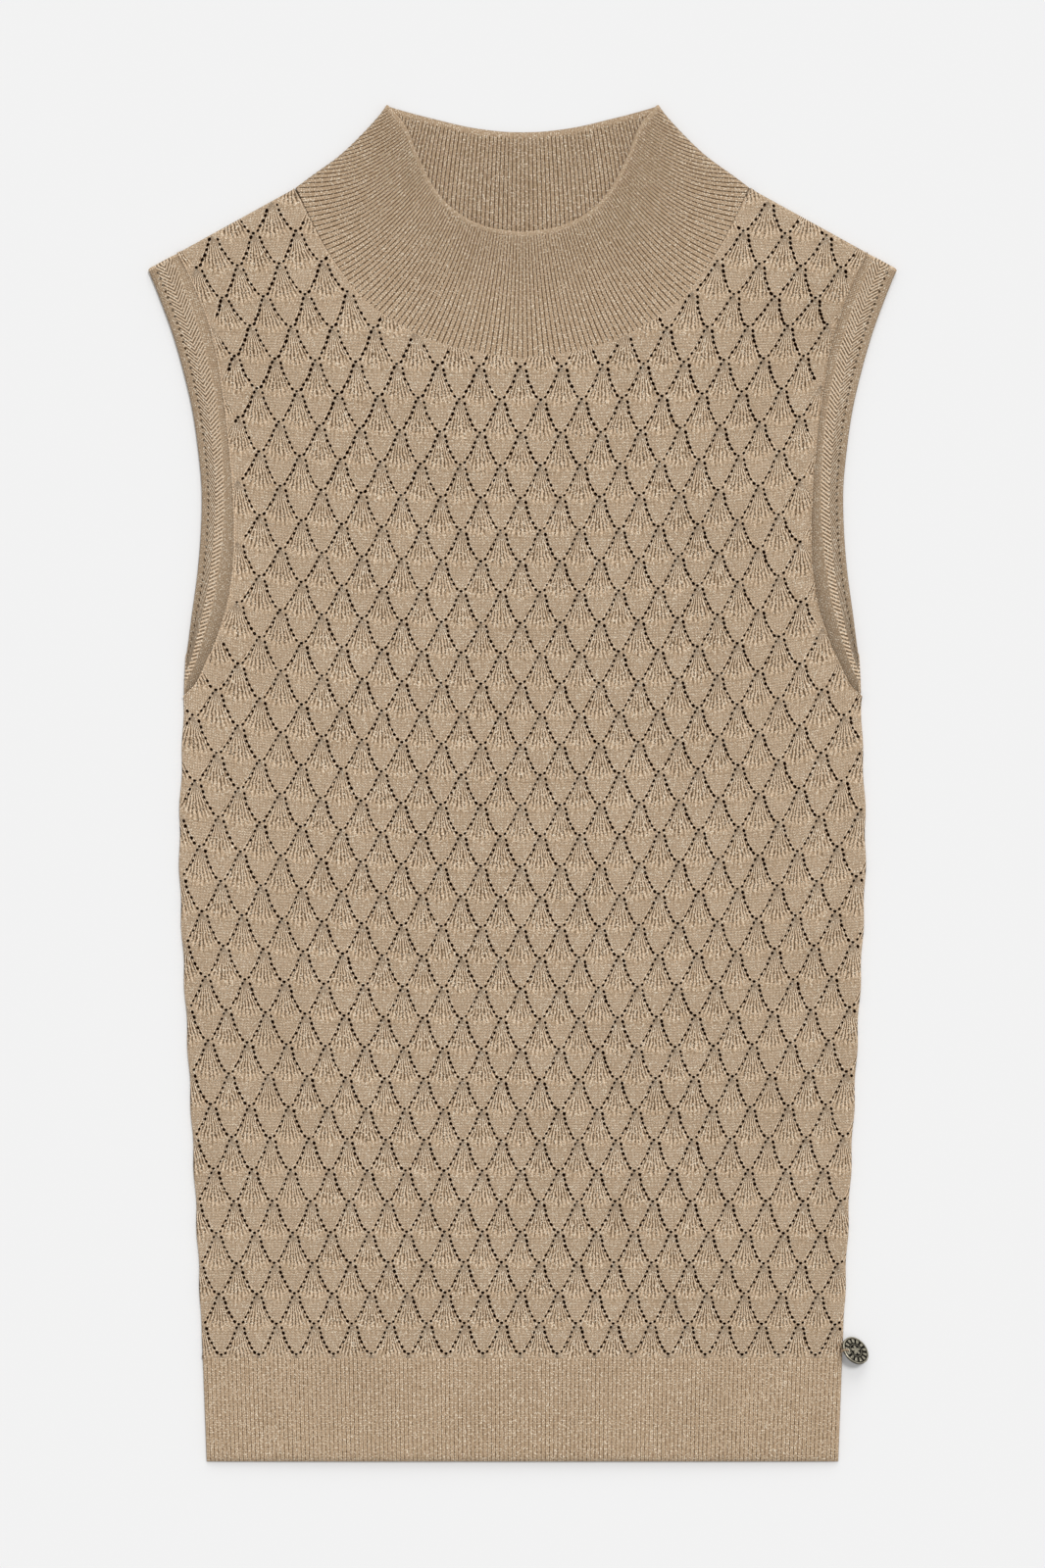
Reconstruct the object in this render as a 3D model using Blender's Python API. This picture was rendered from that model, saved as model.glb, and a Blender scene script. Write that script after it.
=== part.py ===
"""A sleeveless pointelle knit vest with a mock neck, laid flat on its back, at its real size.

The front lies on the back. Sizes are in millimetres and become metres where a mesh is made. +X is to
the right as one looks at the front, +Y runs from the hem to the neck and +Z is up. The origin is in
the middle of the vest, on the surface that it lies on. Heights in the tables count from the hem.
"""

import math

import bpy
from mathutils import Vector
from mathutils.geometry import delaunay_2d_cdt, intersect_line_line_2d

MM = 0.001

# Driving dimensions
LENGTH = 692.0  # hem to the collar's top corners
WALL = 1.4  # thickness of each knitted layer
LAYER_GAP = 0.3  # between the back layer and the front layer
SEAM_GAP = 0.3  # between two pieces sewn edge to edge
LOFT = 1.2  # how far the middle of the front stands above its edges
LOFT_END = 30.0  # the loft has died away this far below the collar's top corners
LOFT_RUN = 90.0  # length over which it dies away
EDGE_ROUND = 0.7  # how far a folded or free edge draws in at its outer face
ARMHOLE_LOW = 412.0  # height of the lowest point of the armhole's free edge
SHOULDER_TIP = 608.0
SHOULDER_NECK = 649.0
SIDE_TOP = 390.0  # height at which the armhole's seam leaves the side seam

FRONT_UNDERSIDE = WALL + LAYER_GAP
STACK = 2 * WALL + LAYER_GAP
FOLD_CENTRE = STACK / 2

# Pointelle leaves
LEAF_COLUMNS = 17.5  # half-width of the body, in half repeats
LEAF_HALF_HEIGHT = 15.5
LEAF_FIRST_HEIGHT = 55.5
LEAF_ROWS = 38
LEAF_BOW = 11.7  # rise of a row of leaves from the centre towards the sides
LEAF_BOW_FULL = 300.0  # height from which a row bows fully
FLARE_FROM = 520.0  # height from which the columns lean out towards the shoulders
FLARE_RUN = 80.0
FLARE_REACH = 10.0
LEAF_VALLEY = -0.25
LEAF_PEAK = 0.75
LEAF_PEAK_PLACE = -0.25  # in half repeats from the leaf's middle
LEAF_RIDGE = 0.4
LEAF_RIDGE_PLACE = 0.45
LEAF_MARGIN = 2.4  # leaves keep this far from the seams
SEAM_DIP = 0.1  # how much lower the front is at its seams

# Ribs
HEM_RIB_HEIGHT = 53.0
HEM_RIB_COUNT = 153
HEM_CORNER_DIP = 0.4
COLLAR_FRONT_RIBS = 111
COLLAR_BACK_RIBS = 71
RIB_CREST = 0.35
RIB_VALLEY = -0.2
INNER_RIB_DEPTH = 0.5
NECK_BACK_STEPS = 18  # in half of the back neck seam
COLLAR_BEND = 0.22  # share of the front over which the ribs bend to the fold's line
COLLAR_FOLD_OUT = Vector((0.68, 0.73))  # outward direction of the collar's right fold
COLLAR_SEAM_SHARE = SEAM_GAP / 2 / 60  # of the collar's height, left free at its seam
COLLAR_RIM = 0.985  # share of the collar's height at which its edge starts to round

# Armhole bands
ROLL_WIDTH = 4.7
ROLL_RISE = 0.45
ROLL_GROOVE = 0.2
ROLL_SLOPE = 1.0  # width of each slope of the rolled edge
ARM_STEPS = 30
UNDERARM_OUT = Vector((0.998, 0.055)).normalized()  # outward directions of the right band's folds
SHOULDER_OUT = Vector((0.482, 0.876)).normalized()
UNDERARM_TRIM = 1.42  # seam left free below the underarm fold, as a share of the fold's reach
UNDERARM_RUN = 0.12  # share of the band over which its free edge draws in to that fold
UNDERARM_TAPER = 0.7  # how much flatter the underarm fold is at the free edge than at the seam

# Charm
COIN_RADIUS = 7.7
COIN_OVAL = 0.87  # its short radius over its long one
COIN_THICKNESS = 1.5
COIN_TILT = math.radians(40)
COIN_LONG_AXIS = math.radians(-44)
COIN_CENTRE = (169.4, 57.0)
COIN_CHAMFER = 0.25
COIN_LIFT = 0.06  # the coin's lowest point clears the floor by this much
HOLE_PLACE = (-3.29, 3.65)  # along the coin's long and short axes
HOLE_RADIUS = 0.85
THREAD_RADIUS = 0.3
THREAD_ROOT = (163.4, 2.4)  # distance from the centre line and above the floor

ROUND = 4.0  # once round a ring: the front, a fold, the back and a fold

# Outlines of the right half: (height above the hem, distance from the centre line)
SIDE = (
    (0, 161.0),
    (53, 163.0),
    (126, 166.3),
    (206, 170.3),
    (286, 174.3),
    (326, 174.8),
    (366, 173.3),
    (SIDE_TOP, 172.8),
)
ARM_EDGE = (
    (ARMHOLE_LOW, 171.6),
    (436, 167.9),
    (456, 165.3),
    (476, 163.8),
    (496, 163.5),
    (516, 165.3),
    (536, 168.2),
    (556, 172.8),
    (576, 178.6),
    (596, 186.0),
    (SHOULDER_TIP, 191.0),
)
ARM_SEAM = (
    (SIDE_TOP, 172.8),
    (397, 166.0),
    (409, 160.0),
    (420, 155.3),
    (434, 150.6),
    (449, 148.0),
    (466, 146.6),
    (496, 147.4),
    (528, 150.4),
    (555, 154.0),
    (573, 157.6),
    (587, 162.0),
    (599, 167.0),
    (609.5, 172.0),
    (616.3, 175.7),
)
SHOULDER = ((SHOULDER_TIP, 191.0), (SHOULDER_NECK, 116.5))
NECK_SEAM = (
    (562, 0),
    (566, 26.5),
    (571, 45.0),
    (578, 60.0),
    (593, 81.5),
    (616, 99.0),
    (634.5, 109.5),
    (SHOULDER_NECK, 116.5),
)
NECK_SEAM_BACK = ((613, 0), (616, 40.0), (627, 80.0), (SHOULDER_NECK, 116.5))
COLLAR_TOP = (
    (626.5, 0),
    (628, 11.5),
    (630.5, 21.5),
    (637, 33.5),
    (648.5, 44.5),
    (667, 54.0),
    (681, 60.0),
    (LENGTH, 69.0),
)
COLLAR_TOP_BACK = ((677.8, 0), (678.3, 11.7), (680.7, 28.7), (685.5, 48.0), (LENGTH, 69.0))
COLLAR_FOLD = ((649.3, 115.9), (655.5, 107.8), (665.5, 94.0), (675.5, 83.3), (685.5, 74.0), (LENGTH, 69.0))


# Curves


def clear_scene():
    for item in list(bpy.data.objects):
        bpy.data.objects.remove(item)


def at_height(x, height):
    return Vector((x, height - LENGTH / 2))


def bend(a, b, c, d, t):
    """The point at share t of the smooth curve from b to c, with a and d as its neighbours."""
    return 0.5 * (2 * b + (c - a) * t + (2 * a - 5 * b + 4 * c - d) * t**2 + (3 * b - a - 3 * c + d) * t**3)


def smooth_line(rows, count):
    """count + 1 points, evenly spaced on a smooth curve through the rows of one table."""
    knots = [at_height(x, height) for height, x in rows]
    knots = [2 * knots[0] - knots[1], *knots, 2 * knots[-1] - knots[-2]]
    fine = []
    for a, b, c, d in zip(knots, knots[1:], knots[2:], knots[3:]):
        for step in range(12):
            fine.append(bend(a, b, c, d, step / 12))
    fine.append(knots[-2])
    return even(fine, count)


def even(line, count):
    """The line with count + 1 points at even distances along it."""
    reach = [0.0]
    for a, b in zip(line, line[1:]):
        reach.append(reach[-1] + (b - a).length)
    made = []
    span = 0
    for step in range(count + 1):
        target = reach[-1] * step / count
        while span < len(line) - 2 and reach[span + 1] < target:
            span += 1
        share = (target - reach[span]) / (reach[span + 1] - reach[span])
        made.append(line[span].lerp(line[span + 1], min(1.0, share)))
    return made


def trimmed(line, start, end, count):
    """The line without these lengths at its start and end, with count + 1 points."""
    whole = sum((b - a).length for a, b in zip(line, line[1:]))
    low, high = start / whole, 1 - end / whole
    return [reach_at(line, low + (high - low) * step / count) for step in range(count + 1)]


def mirrored(line):
    """The left half of a line that starts on the centre line, then the line itself."""
    return [Vector((-point.x, point.y)) for point in reversed(line[1:])] + line


def reach_at(line, share):
    """The point at this share, 0 to 1, of an evenly spaced line."""
    place = min(max(share, 0.0), 1.0) * (len(line) - 1)
    first = min(int(place), len(line) - 2)
    return line[first].lerp(line[first + 1], place - first)


def table_value(rows, height):
    """Distance from the centre line at this height, straight between the rows."""
    for (low, a), (high, b) in zip(rows, rows[1:]):
        if height <= high:
            return a + (b - a) * max(0.0, height - low) / (high - low)
    return rows[-1][1]


def half_width(y):
    """Half of the vest's width, bands and collar with it, at this place along Y."""
    height = y + LENGTH / 2
    if height < ARMHOLE_LOW:
        return table_value(SIDE, height)
    if height < SHOULDER_TIP:
        return table_value(ARM_EDGE, height)
    if height < SHOULDER_NECK:
        return table_value(SHOULDER, height)
    return table_value(COLLAR_FOLD, height)


def loft(point):
    """How far the front layer stands above a dead flat one."""
    share = min(1.0, abs(point.x) / half_width(point.y))
    down = min(1.0, max(0.0, (LENGTH / 2 - LOFT_END - point.y) / LOFT_RUN))
    return LOFT * (1 - share**4) * down * down * (3 - 2 * down)


def inset(loop, distances):
    """A closed loop, turning left, with its edge k moved in by distances[k]."""
    count = len(loop)
    moved = []
    for k in range(count):
        a, b = loop[k], loop[(k + 1) % count]
        normal = Vector((a.y - b.y, b.x - a.x)).normalized() * distances[k]
        moved.append((a + normal, b + normal))
    made = []
    for k in range(count):
        (a, b), (c, d) = moved[k - 1], moved[k]
        meets = None
        if abs((b - a).cross(d - c)) > 1e-3:
            meets = intersect_line_line_2d(a - 50 * (b - a), b, c, d + 50 * (d - c))
        made.append(meets if meets else (b + c) / 2)
    return made


# Solids


def make_object(name, points, faces, material, smooth_angle=20):
    mesh = bpy.data.meshes.new(name)
    mesh.from_pydata([tuple(value * MM for value in point) for point in points], [], faces)
    mesh.validate()
    mesh.shade_smooth()
    mesh.set_sharp_from_angle(angle=math.radians(smooth_angle))
    made = bpy.data.objects.new(name, mesh)
    made.data.materials.append(material)
    bpy.context.scene.collection.objects.link(made)
    return made


def make_material(name, colour, roughness, metallic=0.0):
    material = bpy.data.materials.new(name)
    material.use_nodes = True
    shader = material.node_tree.nodes["Principled BSDF"]
    shader.inputs["Base Color"].default_value = (*colour, 1)
    shader.inputs["Roughness"].default_value = roughness
    shader.inputs["Metallic"].default_value = metallic
    return material


def shares(count):
    return [k / (count - 1) for k in range(count)]


def zip_faces(first, second, first_places=None, second_places=None):
    """Triangles between two chains of point numbers, placed at equal shares unless places are given."""
    first_places = first_places or shares(len(first))
    second_places = second_places or shares(len(second))
    faces = []
    i = j = 0
    while i < len(first) - 1 or j < len(second) - 1:
        first_is_next = i < len(first) - 1 and (
            j == len(second) - 1 or first_places[i + 1] <= second_places[j + 1]
        )
        if first_is_next:
            faces.append((first[i], first[i + 1], second[j]))
            i += 1
        else:
            faces.append((first[i], second[j + 1], second[j]))
            j += 1
    return faces


def grid_faces(rows, turned=False):
    """Quads of a grid of point numbers, given row by row."""
    faces = []
    for low, high in zip(rows, rows[1:]):
        for k in range(len(low) - 1):
            quad = (low[k], low[k + 1], high[k + 1], high[k])
            faces.append(quad[::-1] if turned else quad)
    return faces


def numbered(grid, points):
    """Adds a grid's points to the list and gives their numbers in the same rows."""
    numbers = []
    for row in grid:
        numbers.append(list(range(len(points), len(points) + len(row))))
        points.extend(row)
    return numbers


def slab(name, upper, lower, material):
    """A solid between two grids of points that share their four sides' directions."""
    points = []
    top = numbered(upper, points)
    base = numbered(lower, points)
    faces = grid_faces(top) + grid_faces(base, turned=True)
    sides = (
        (base[0], top[0]),
        ([row[-1] for row in base], [row[-1] for row in top]),
        (base[-1][::-1], top[-1][::-1]),
        ([row[0] for row in base][::-1], [row[0] for row in top][::-1]),
    )
    for below, above in sides:
        faces += zip_faces(below, above)
    return make_object(name, points, faces, material)


def ring(name, outer, outer_places, inner, inner_places, material):
    """A solid ring between two grids whose rows close on themselves, with the rows' places round the ring."""
    points = []
    outside = [row + row[:1] for row in numbered(outer, points)]
    inside_rows = [row + row[:1] for row in numbered(inner, points)]
    outer_places = [*outer_places, ROUND]
    inner_places = [*inner_places, ROUND]
    faces = grid_faces(outside) + grid_faces(inside_rows, turned=True)
    faces += zip_faces(inside_rows[0], outside[0], inner_places, outer_places)
    faces += zip_faces(outside[-1], inside_rows[-1], outer_places, inner_places)
    return make_object(name, points, faces, material)


def triangles(plan, loop_count, edges=()):
    """Triangles of a plan whose first points are its closed outline, turning left."""
    outline = list(range(loop_count))
    made = delaunay_2d_cdt([Vector(point[:2]) for point in plan], list(edges), [outline], 1, 1e-5)
    source = [numbers[0] for numbers in made[3]]
    return [tuple(source[k] for k in face) for face in made[2]]


def panel(name, upper_loop, lower_loop, inner, edges, material):
    """A solid sheet: an outline at its upper face with inner points, over a plain lower face."""
    count = len(upper_loop)
    points = [*upper_loop, *inner, *lower_loop]
    faces = triangles(points[: count + len(inner)], count, edges)
    base = count + len(inner)
    faces += [tuple(base + k for k in reversed(face)) for face in triangles(lower_loop, count)]
    for k in range(count):
        after = (k + 1) % count
        faces.append((base + k, base + after, after, k))
    return make_object(name, points, faces, material)


# Panels


def outline_runs(neck_rows, neck_count):
    """The runs of a panel's outline, turning left from the hem's left end, as (points, is a free edge)."""
    side = smooth_line([row for row in SIDE if row[0] >= HEM_RIB_HEIGHT], 22)
    arm = smooth_line(ARM_SEAM, 2 * ARM_STEPS)
    shoulder = even([arm[-1], at_height(SHOULDER[1][1], SHOULDER_NECK)], 6)
    neck = mirrored(smooth_line(neck_rows, neck_count))[::-1]
    hem = even([Vector((-side[0].x, side[0].y)), side[0]], 32)
    right = ((side, True), (arm, False), (shoulder, True))
    left = [([Vector((-p.x, p.y)) for p in reversed(run)], free) for run, free in reversed(right)]
    return [(hem, False), *right, (neck, False), *left]


def panel_loops(neck_rows, neck_count):
    """A panel's outline at the face that shows, drawn in at free edges, and at its inner face."""
    loop, drawn = [], []
    for run, free in outline_runs(neck_rows, neck_count):
        loop += run[:-1]
        drawn += [EDGE_ROUND if free else 0.0] * (len(run) - 1)
    seam = SEAM_GAP / 2
    return inset(loop, [seam + extra for extra in drawn]), inset(loop, [seam] * len(loop))


def inside(point, loop, margin):
    """Whether a point lies in the loop, at least margin from it."""
    crossed = False
    for a, b in zip(loop, loop[1:] + loop[:1]):
        along = b - a
        share = min(1.0, max(0.0, (point - a).dot(along) / along.length_squared))
        if (a + along * share - point).length < margin:
            return False
        if (a.y > point.y) != (b.y > point.y) and point.x < a.x + (point.y - a.y) / along.y * along.x:
            crossed = not crossed
    return crossed


def leaf_point(column, row):
    """A place in the lattice of leaves, in half repeats. Its lines meet where column + row is even."""
    height = LEAF_FIRST_HEIGHT + LEAF_HALF_HEIGHT * row
    share = column / LEAF_COLUMNS
    rise = LEAF_BOW * min(1.0, height / LEAF_BOW_FULL) * share * share
    flare = FLARE_REACH * max(0.0, height - FLARE_FROM) / FLARE_RUN * abs(share) ** 3
    width = table_value(SIDE, min(height, SIDE_TOP))
    return at_height(share * width + math.copysign(flare, share), height + rise)


def leaves(loop):
    """Inner points and lattice lines of the pointelle leaves: low lines, a peak and a ridge in each leaf."""
    first = len(loop)
    points, edges, numbers = [], [], {}

    def add(plan, relief):
        points.append(Vector((plan.x, plan.y, STACK + loft(plan) + relief)))
        return first + len(points) - 1

    reach = int(LEAF_COLUMNS) + 2
    for row in range(LEAF_ROWS + 1):
        for column in range(-reach, reach + 1):
            plan = leaf_point(column, row)
            if not inside(plan, loop, LEAF_MARGIN):
                continue
            if (column + row) % 2 == 0:
                numbers[column, row] = add(plan, LEAF_VALLEY)
                continue
            add(leaf_point(column, row + LEAF_PEAK_PLACE), LEAF_PEAK)
            ridge = leaf_point(column, row + LEAF_RIDGE_PLACE)
            if inside(ridge, loop, LEAF_MARGIN):
                add(ridge, LEAF_RIDGE)
    for column, row in numbers:
        for side in (-1, 1):
            if (column + side, row + 1) in numbers:
                edges.append((numbers[column, row], numbers[column + side, row + 1]))
    return points, edges


def front_panel(material):
    drawn, full = panel_loops(NECK_SEAM, 26)
    inner, edges = leaves(drawn)
    upper = [Vector((p.x, p.y, STACK + loft(p) - SEAM_DIP)) for p in drawn]
    lower = [Vector((p.x, p.y, FRONT_UNDERSIDE + loft(p))) for p in full]
    return panel("front_panel", upper, lower, inner, edges, material)


def back_panel(material):
    drawn, full = panel_loops(NECK_SEAM_BACK, NECK_BACK_STEPS)
    upper = [Vector((p.x, p.y, WALL)) for p in full]
    lower = [Vector((p.x, p.y, 0.0)) for p in drawn]
    return panel("back_panel", upper, lower, [], (), material)


# Hem ribs


def hem_row(height, columns, level):
    """A row of points across the hem. level gives the height of column k above a flat front layer."""
    width = table_value(SIDE, height) - SEAM_GAP / 2
    row = []
    for k in range(columns + 1):
        plan = at_height(width * (2 * k / columns - 1), height)
        row.append(Vector((plan.x, plan.y, level(k, plan))))
    return row


def hem_ribs(material):
    top = HEM_RIB_HEIGHT - SEAM_GAP / 2
    columns = 2 * HEM_RIB_COUNT

    def ribbed(k, plan):
        drawn = HEM_CORNER_DIP if k in (0, columns) else 0.0
        return STACK + loft(plan) + (RIB_CREST if k % 2 else RIB_VALLEY) - drawn

    def rounded(k, plan):
        return FRONT_UNDERSIDE + loft(plan) + WALL - EDGE_ROUND

    def under(k, plan):
        return FRONT_UNDERSIDE + loft(plan)

    upper = [hem_row(0.0, columns, rounded)]
    upper += [hem_row(height, columns, ribbed) for height in (EDGE_ROUND, top)]
    lower = [hem_row(0.0, 16, under), hem_row(top, 16, under)]
    slab("hem_rib_front", upper, lower, material)
    upper = [hem_row(height, 4, lambda k, plan: WALL) for height in (0.0, top)]
    lower = [hem_row(height, 4, lambda k, plan: 0.0) for height in (EDGE_ROUND, top)]
    slab("hem_rib_back", upper, lower, material)


# Rings: a strip runs over the front, round a fold, over the back and round a fold


def around(front_count, back_count, fold_count=4):
    """Places round a ring, 0 to 1 on the front, 1 to 2 in a fold, 2 to 3 on the back, 3 to 4 in a fold."""
    places = [k / front_count for k in range(front_count)]
    places += [1 + k / fold_count for k in range(fold_count)]
    places += [2 + k / back_count for k in range(back_count)]
    places += [3 + k / fold_count for k in range(fold_count)]
    return places


def fold_point(line, across, outward, turn, outer, roundness=1.0):
    """A point in a fold. line is the fold's line, and turn runs from 0 on the front to 1 on the back."""
    radius = FOLD_CENTRE if outer else LAYER_GAP / 2
    place = reach_at(line, across)
    angle = math.pi * turn
    reach = radius * math.sin(angle) * roundness
    level = FOLD_CENTRE + radius * math.cos(angle)
    return Vector((place.x + outward.x * reach, place.y + outward.y * reach, level))


def collar(material):
    seam = mirrored(smooth_line(NECK_SEAM, 60))
    top = mirrored(smooth_line(COLLAR_TOP, 60))
    seam_back = mirrored(smooth_line(NECK_SEAM_BACK, NECK_BACK_STEPS))[::-1]
    top_back = mirrored(smooth_line(COLLAR_TOP_BACK, 40))[::-1]
    outward = COLLAR_FOLD_OUT
    right = [point - outward * FOLD_CENTRE for point in smooth_line(COLLAR_FOLD, 20)]
    left = [Vector((-point.x, point.y)) for point in right]

    def plan(lower_line, upper_line, folds, share, across):
        """Between seam and top edge, bent near the folds so that the first and last sections lie on them."""
        place = reach_at(lower_line, share).lerp(reach_at(upper_line, share), across)
        for end, fold_line in zip((0.0, 1.0), folds):
            near = max(0.0, 1 - abs(share - end) / COLLAR_BEND)
            straight = reach_at(lower_line, end).lerp(reach_at(upper_line, end), across)
            place = place + (reach_at(fold_line, across) - straight) * near * near * (3 - 2 * near)
        return place

    def point(place, across, outer, rib):
        """rib is 1 on a crest, -1 in a valley and 0 where the cloth is plain."""
        section = int(place)
        share = place - section
        across_plan = COLLAR_SEAM_SHARE + across * (1 - COLLAR_SEAM_SHARE)
        if section == 1:
            return fold_point(right, across_plan, outward, share, outer)
        if section == 3:
            return fold_point(left, across_plan, Vector((-outward.x, outward.y)), 1 - share, outer)
        if section == 0:
            spot = plan(seam, top, (left, right), share, across_plan)
            level = FRONT_UNDERSIDE + loft(spot)
            if outer:
                level += WALL + (RIB_CREST if rib > 0 else RIB_VALLEY if rib < 0 else 0.0)
        else:
            spot = plan(seam_back, top_back, (right, left), share, across_plan)
            level = 0.0 if outer else WALL - (INNER_RIB_DEPTH if rib < 0 else 0.0)
        return Vector((spot.x, spot.y, level))

    def row(places, across, outer, ribbed_section):
        made = []
        for k, place in enumerate(places):
            ends = place in (0.0, 2.0)
            ribbed = int(place) == ribbed_section and not ends
            made.append(point(place, across, outer, (1 if k % 2 else -1) if ribbed else 0))
        return made

    outer_places = around(2 * COLLAR_FRONT_RIBS, 2 * NECK_BACK_STEPS)
    inner_places = around(24, 2 * COLLAR_BACK_RIBS)
    outer = [row(outer_places, across, True, 0) for across in (0.0, 0.3, 0.65, COLLAR_RIM)]
    rim = row(outer_places, 1.0, True, None)
    for spot, place in zip(rim, outer_places):
        if int(place) == 0:
            spot.z -= EDGE_ROUND / 2
    inner = [row(inner_places, across, False, 2) for across in (0.0, 0.5, COLLAR_RIM)]
    inner_rim = row(inner_places, 1.0, False, None)
    return ring("collar", [*outer, rim], outer_places, [*inner, inner_rim], inner_places, material)


def armhole_band(name, side, material):
    """side is 1 for the right band and -1 for the left."""
    seam = trimmed(smooth_line(ARM_SEAM, 90), UNDERARM_TRIM * FOLD_CENTRE, FOLD_CENTRE, 60)
    edge = trimmed(smooth_line(ARM_EDGE, 90), 0.0, FOLD_CENTRE, 60)
    drawn_in = FOLD_CENTRE * (1 - UNDERARM_TAPER)
    under_line = even([seam[0], edge[0] - UNDERARM_OUT * drawn_in], 4)
    over_line = even([seam[-1], edge[-1]], 4)

    def plan(share, across):
        """Between seam and free edge, which draws in at the underarm to meet the fold there."""
        near = max(0.0, 1 - share / UNDERARM_RUN)
        free = reach_at(edge, share) - UNDERARM_OUT * drawn_in * near * near * (3 - 2 * near)
        return reach_at(seam, share).lerp(free, across)

    def width(share):
        return (reach_at(edge, share) - reach_at(seam, share)).length

    def point(place, from_edge, outer, rise):
        """from_edge is the distance from the free edge, or None at the seam."""
        section = int(place)
        share = place - section
        along = {0: share, 1: 1.0, 2: 1 - share, 3: 0.0}[section]
        across = SEAM_GAP / 2 / width(along) if from_edge is None else 1 - from_edge / width(along)
        if section == 1:
            return fold_point(over_line, across, SHOULDER_OUT, share, outer)
        if section == 3:
            return fold_point(under_line, across, UNDERARM_OUT, 1 - share, outer, 1 - UNDERARM_TAPER * across)
        spot = plan(along, across)
        if section == 0:
            level = FRONT_UNDERSIDE + loft(spot) + (WALL + rise if outer else 0.0)
        else:
            level = 0.0 if outer else WALL
        return Vector((spot.x, spot.y, level))

    places = around(ARM_STEPS, ARM_STEPS)
    rows = (
        (None, 0.0),
        (ROLL_WIDTH, -ROLL_GROOVE),
        (ROLL_WIDTH - ROLL_SLOPE, ROLL_RISE),
        (ROLL_SLOPE, ROLL_RISE),
        (0.0, -EDGE_ROUND),
    )
    outer = [[point(place, distance, True, rise) for place in places] for distance, rise in rows]
    inner = [[point(place, distance, False, 0.0) for place in places] for distance in (None, 0.0)]
    if side < 0:
        outer, inner = ([[Vector((-p.x, p.y, p.z)) for p in row] for row in grid] for grid in (outer, inner))
    else:
        outer, inner = ([row[:1] + row[:0:-1] for row in grid] for grid in (outer, inner))
        places = [0.0] + [ROUND - place for place in places[:0:-1]]
    return ring(name, outer, places, inner, places, material)


# Charm


def coin_axes():
    """The coin's long axis, its short axis towards its raised side, and its normal."""
    long_axis = Vector((math.cos(COIN_LONG_AXIS), math.sin(COIN_LONG_AXIS), 0))
    level = Vector((-long_axis.y, long_axis.x, 0))
    normal = level * math.sin(COIN_TILT) + Vector((0, 0, math.cos(COIN_TILT)))
    return long_axis, -level * math.cos(COIN_TILT) + Vector((0, 0, math.sin(COIN_TILT))), normal


def coin_middle():
    short = COIN_RADIUS * COIN_OVAL
    lowest = short * math.sin(COIN_TILT) + (COIN_THICKNESS / 2 - COIN_CHAMFER) * math.cos(COIN_TILT)
    plan = at_height(*COIN_CENTRE)
    return Vector((plan.x, plan.y, lowest + COIN_LIFT))


def coin_point(along_long, along_short, above):
    long_axis, short_axis, normal = coin_axes()
    return coin_middle() + long_axis * along_long + short_axis * along_short + normal * above


def charm(material):
    """A struck coin: raised rim, a ring of rays and a centre boss, with a hole for the thread."""
    half = COIN_THICKNESS / 2
    # Share of the radius, and distance from the coin's middle plane
    profile = (
        (0.78, -half),
        (1.0, -half + COIN_CHAMFER),
        (1.0, half - 0.2),
        (0.95, half),
        (0.88, half),
        (0.83, half - 0.3),
        (0.45, half - 0.3),
        (0.38, half - 0.05),
    )
    segments = 36
    points, faces = [], []
    for ratio, above in profile:
        for k in range(segments):
            angle = math.tau * k / segments
            ray = 0.22 if ratio in (0.83, 0.45) and k % 3 == 0 else 0.0
            reach = COIN_RADIUS * ratio
            along_short = COIN_OVAL * reach * math.sin(angle)
            points.append(coin_point(reach * math.cos(angle), along_short, above + ray))
    for ring_number in range(len(profile) - 1):
        for k in range(segments):
            low = ring_number * segments
            after = (k + 1) % segments
            faces.append((low + k, low + after, low + segments + after, low + segments + k))
    top = (len(profile) - 1) * segments
    points.append(coin_point(0, 0, half))
    points.append(coin_point(0, 0, -half))
    for k in range(segments):
        after = (k + 1) % segments
        faces.append((top + k, top + after, len(points) - 2))
        faces.append((after, k, len(points) - 1))
    # The coin's axes turn right as seen from above, so its faces are turned round.
    coin = make_object("charm", points, [face[::-1] for face in faces], material)
    bpy.ops.mesh.primitive_cylinder_add(vertices=16, radius=HOLE_RADIUS * MM, depth=4 * COIN_THICKNESS * MM)
    cutter = bpy.context.object
    cutter.name = "charm_hole"
    cutter.location = coin_point(*HOLE_PLACE, 0) * MM
    cutter.rotation_euler = coin_axes()[2].to_track_quat("Z", "Y").to_euler()
    cutter.hide_render = True
    cutter.display_type = "WIRE"
    cut = coin.modifiers.new("hole", "BOOLEAN")
    cut.operation = "DIFFERENCE"
    cut.object = cutter
    return coin


def loop_path():
    """The thread's way: from the side seam up through the hole, over the coin's rim and back."""
    root_x, root_z = THREAD_ROOT
    root = at_height(root_x, COIN_CENTRE[1])
    rim = Vector(HOLE_PLACE).normalized() * COIN_RADIUS
    return (
        Vector((root.x, root.y, root_z)),
        Vector((root.x + 0.75, root.y - 0.1, root_z + 2.1)),
        coin_point(*HOLE_PLACE, -1.1),
        coin_point(*HOLE_PLACE, 0.0),
        coin_point(*HOLE_PLACE, 1.15),
        coin_point(*(rim * 0.86), 1.35),
        coin_point(*rim, 0.85),
        coin_point(*(rim * 1.02), -0.5),
        coin_point(*(rim * 0.93), -1.6),
        Vector((root.x + 0.1, root.y, root_z + 2.3)),
    )


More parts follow.
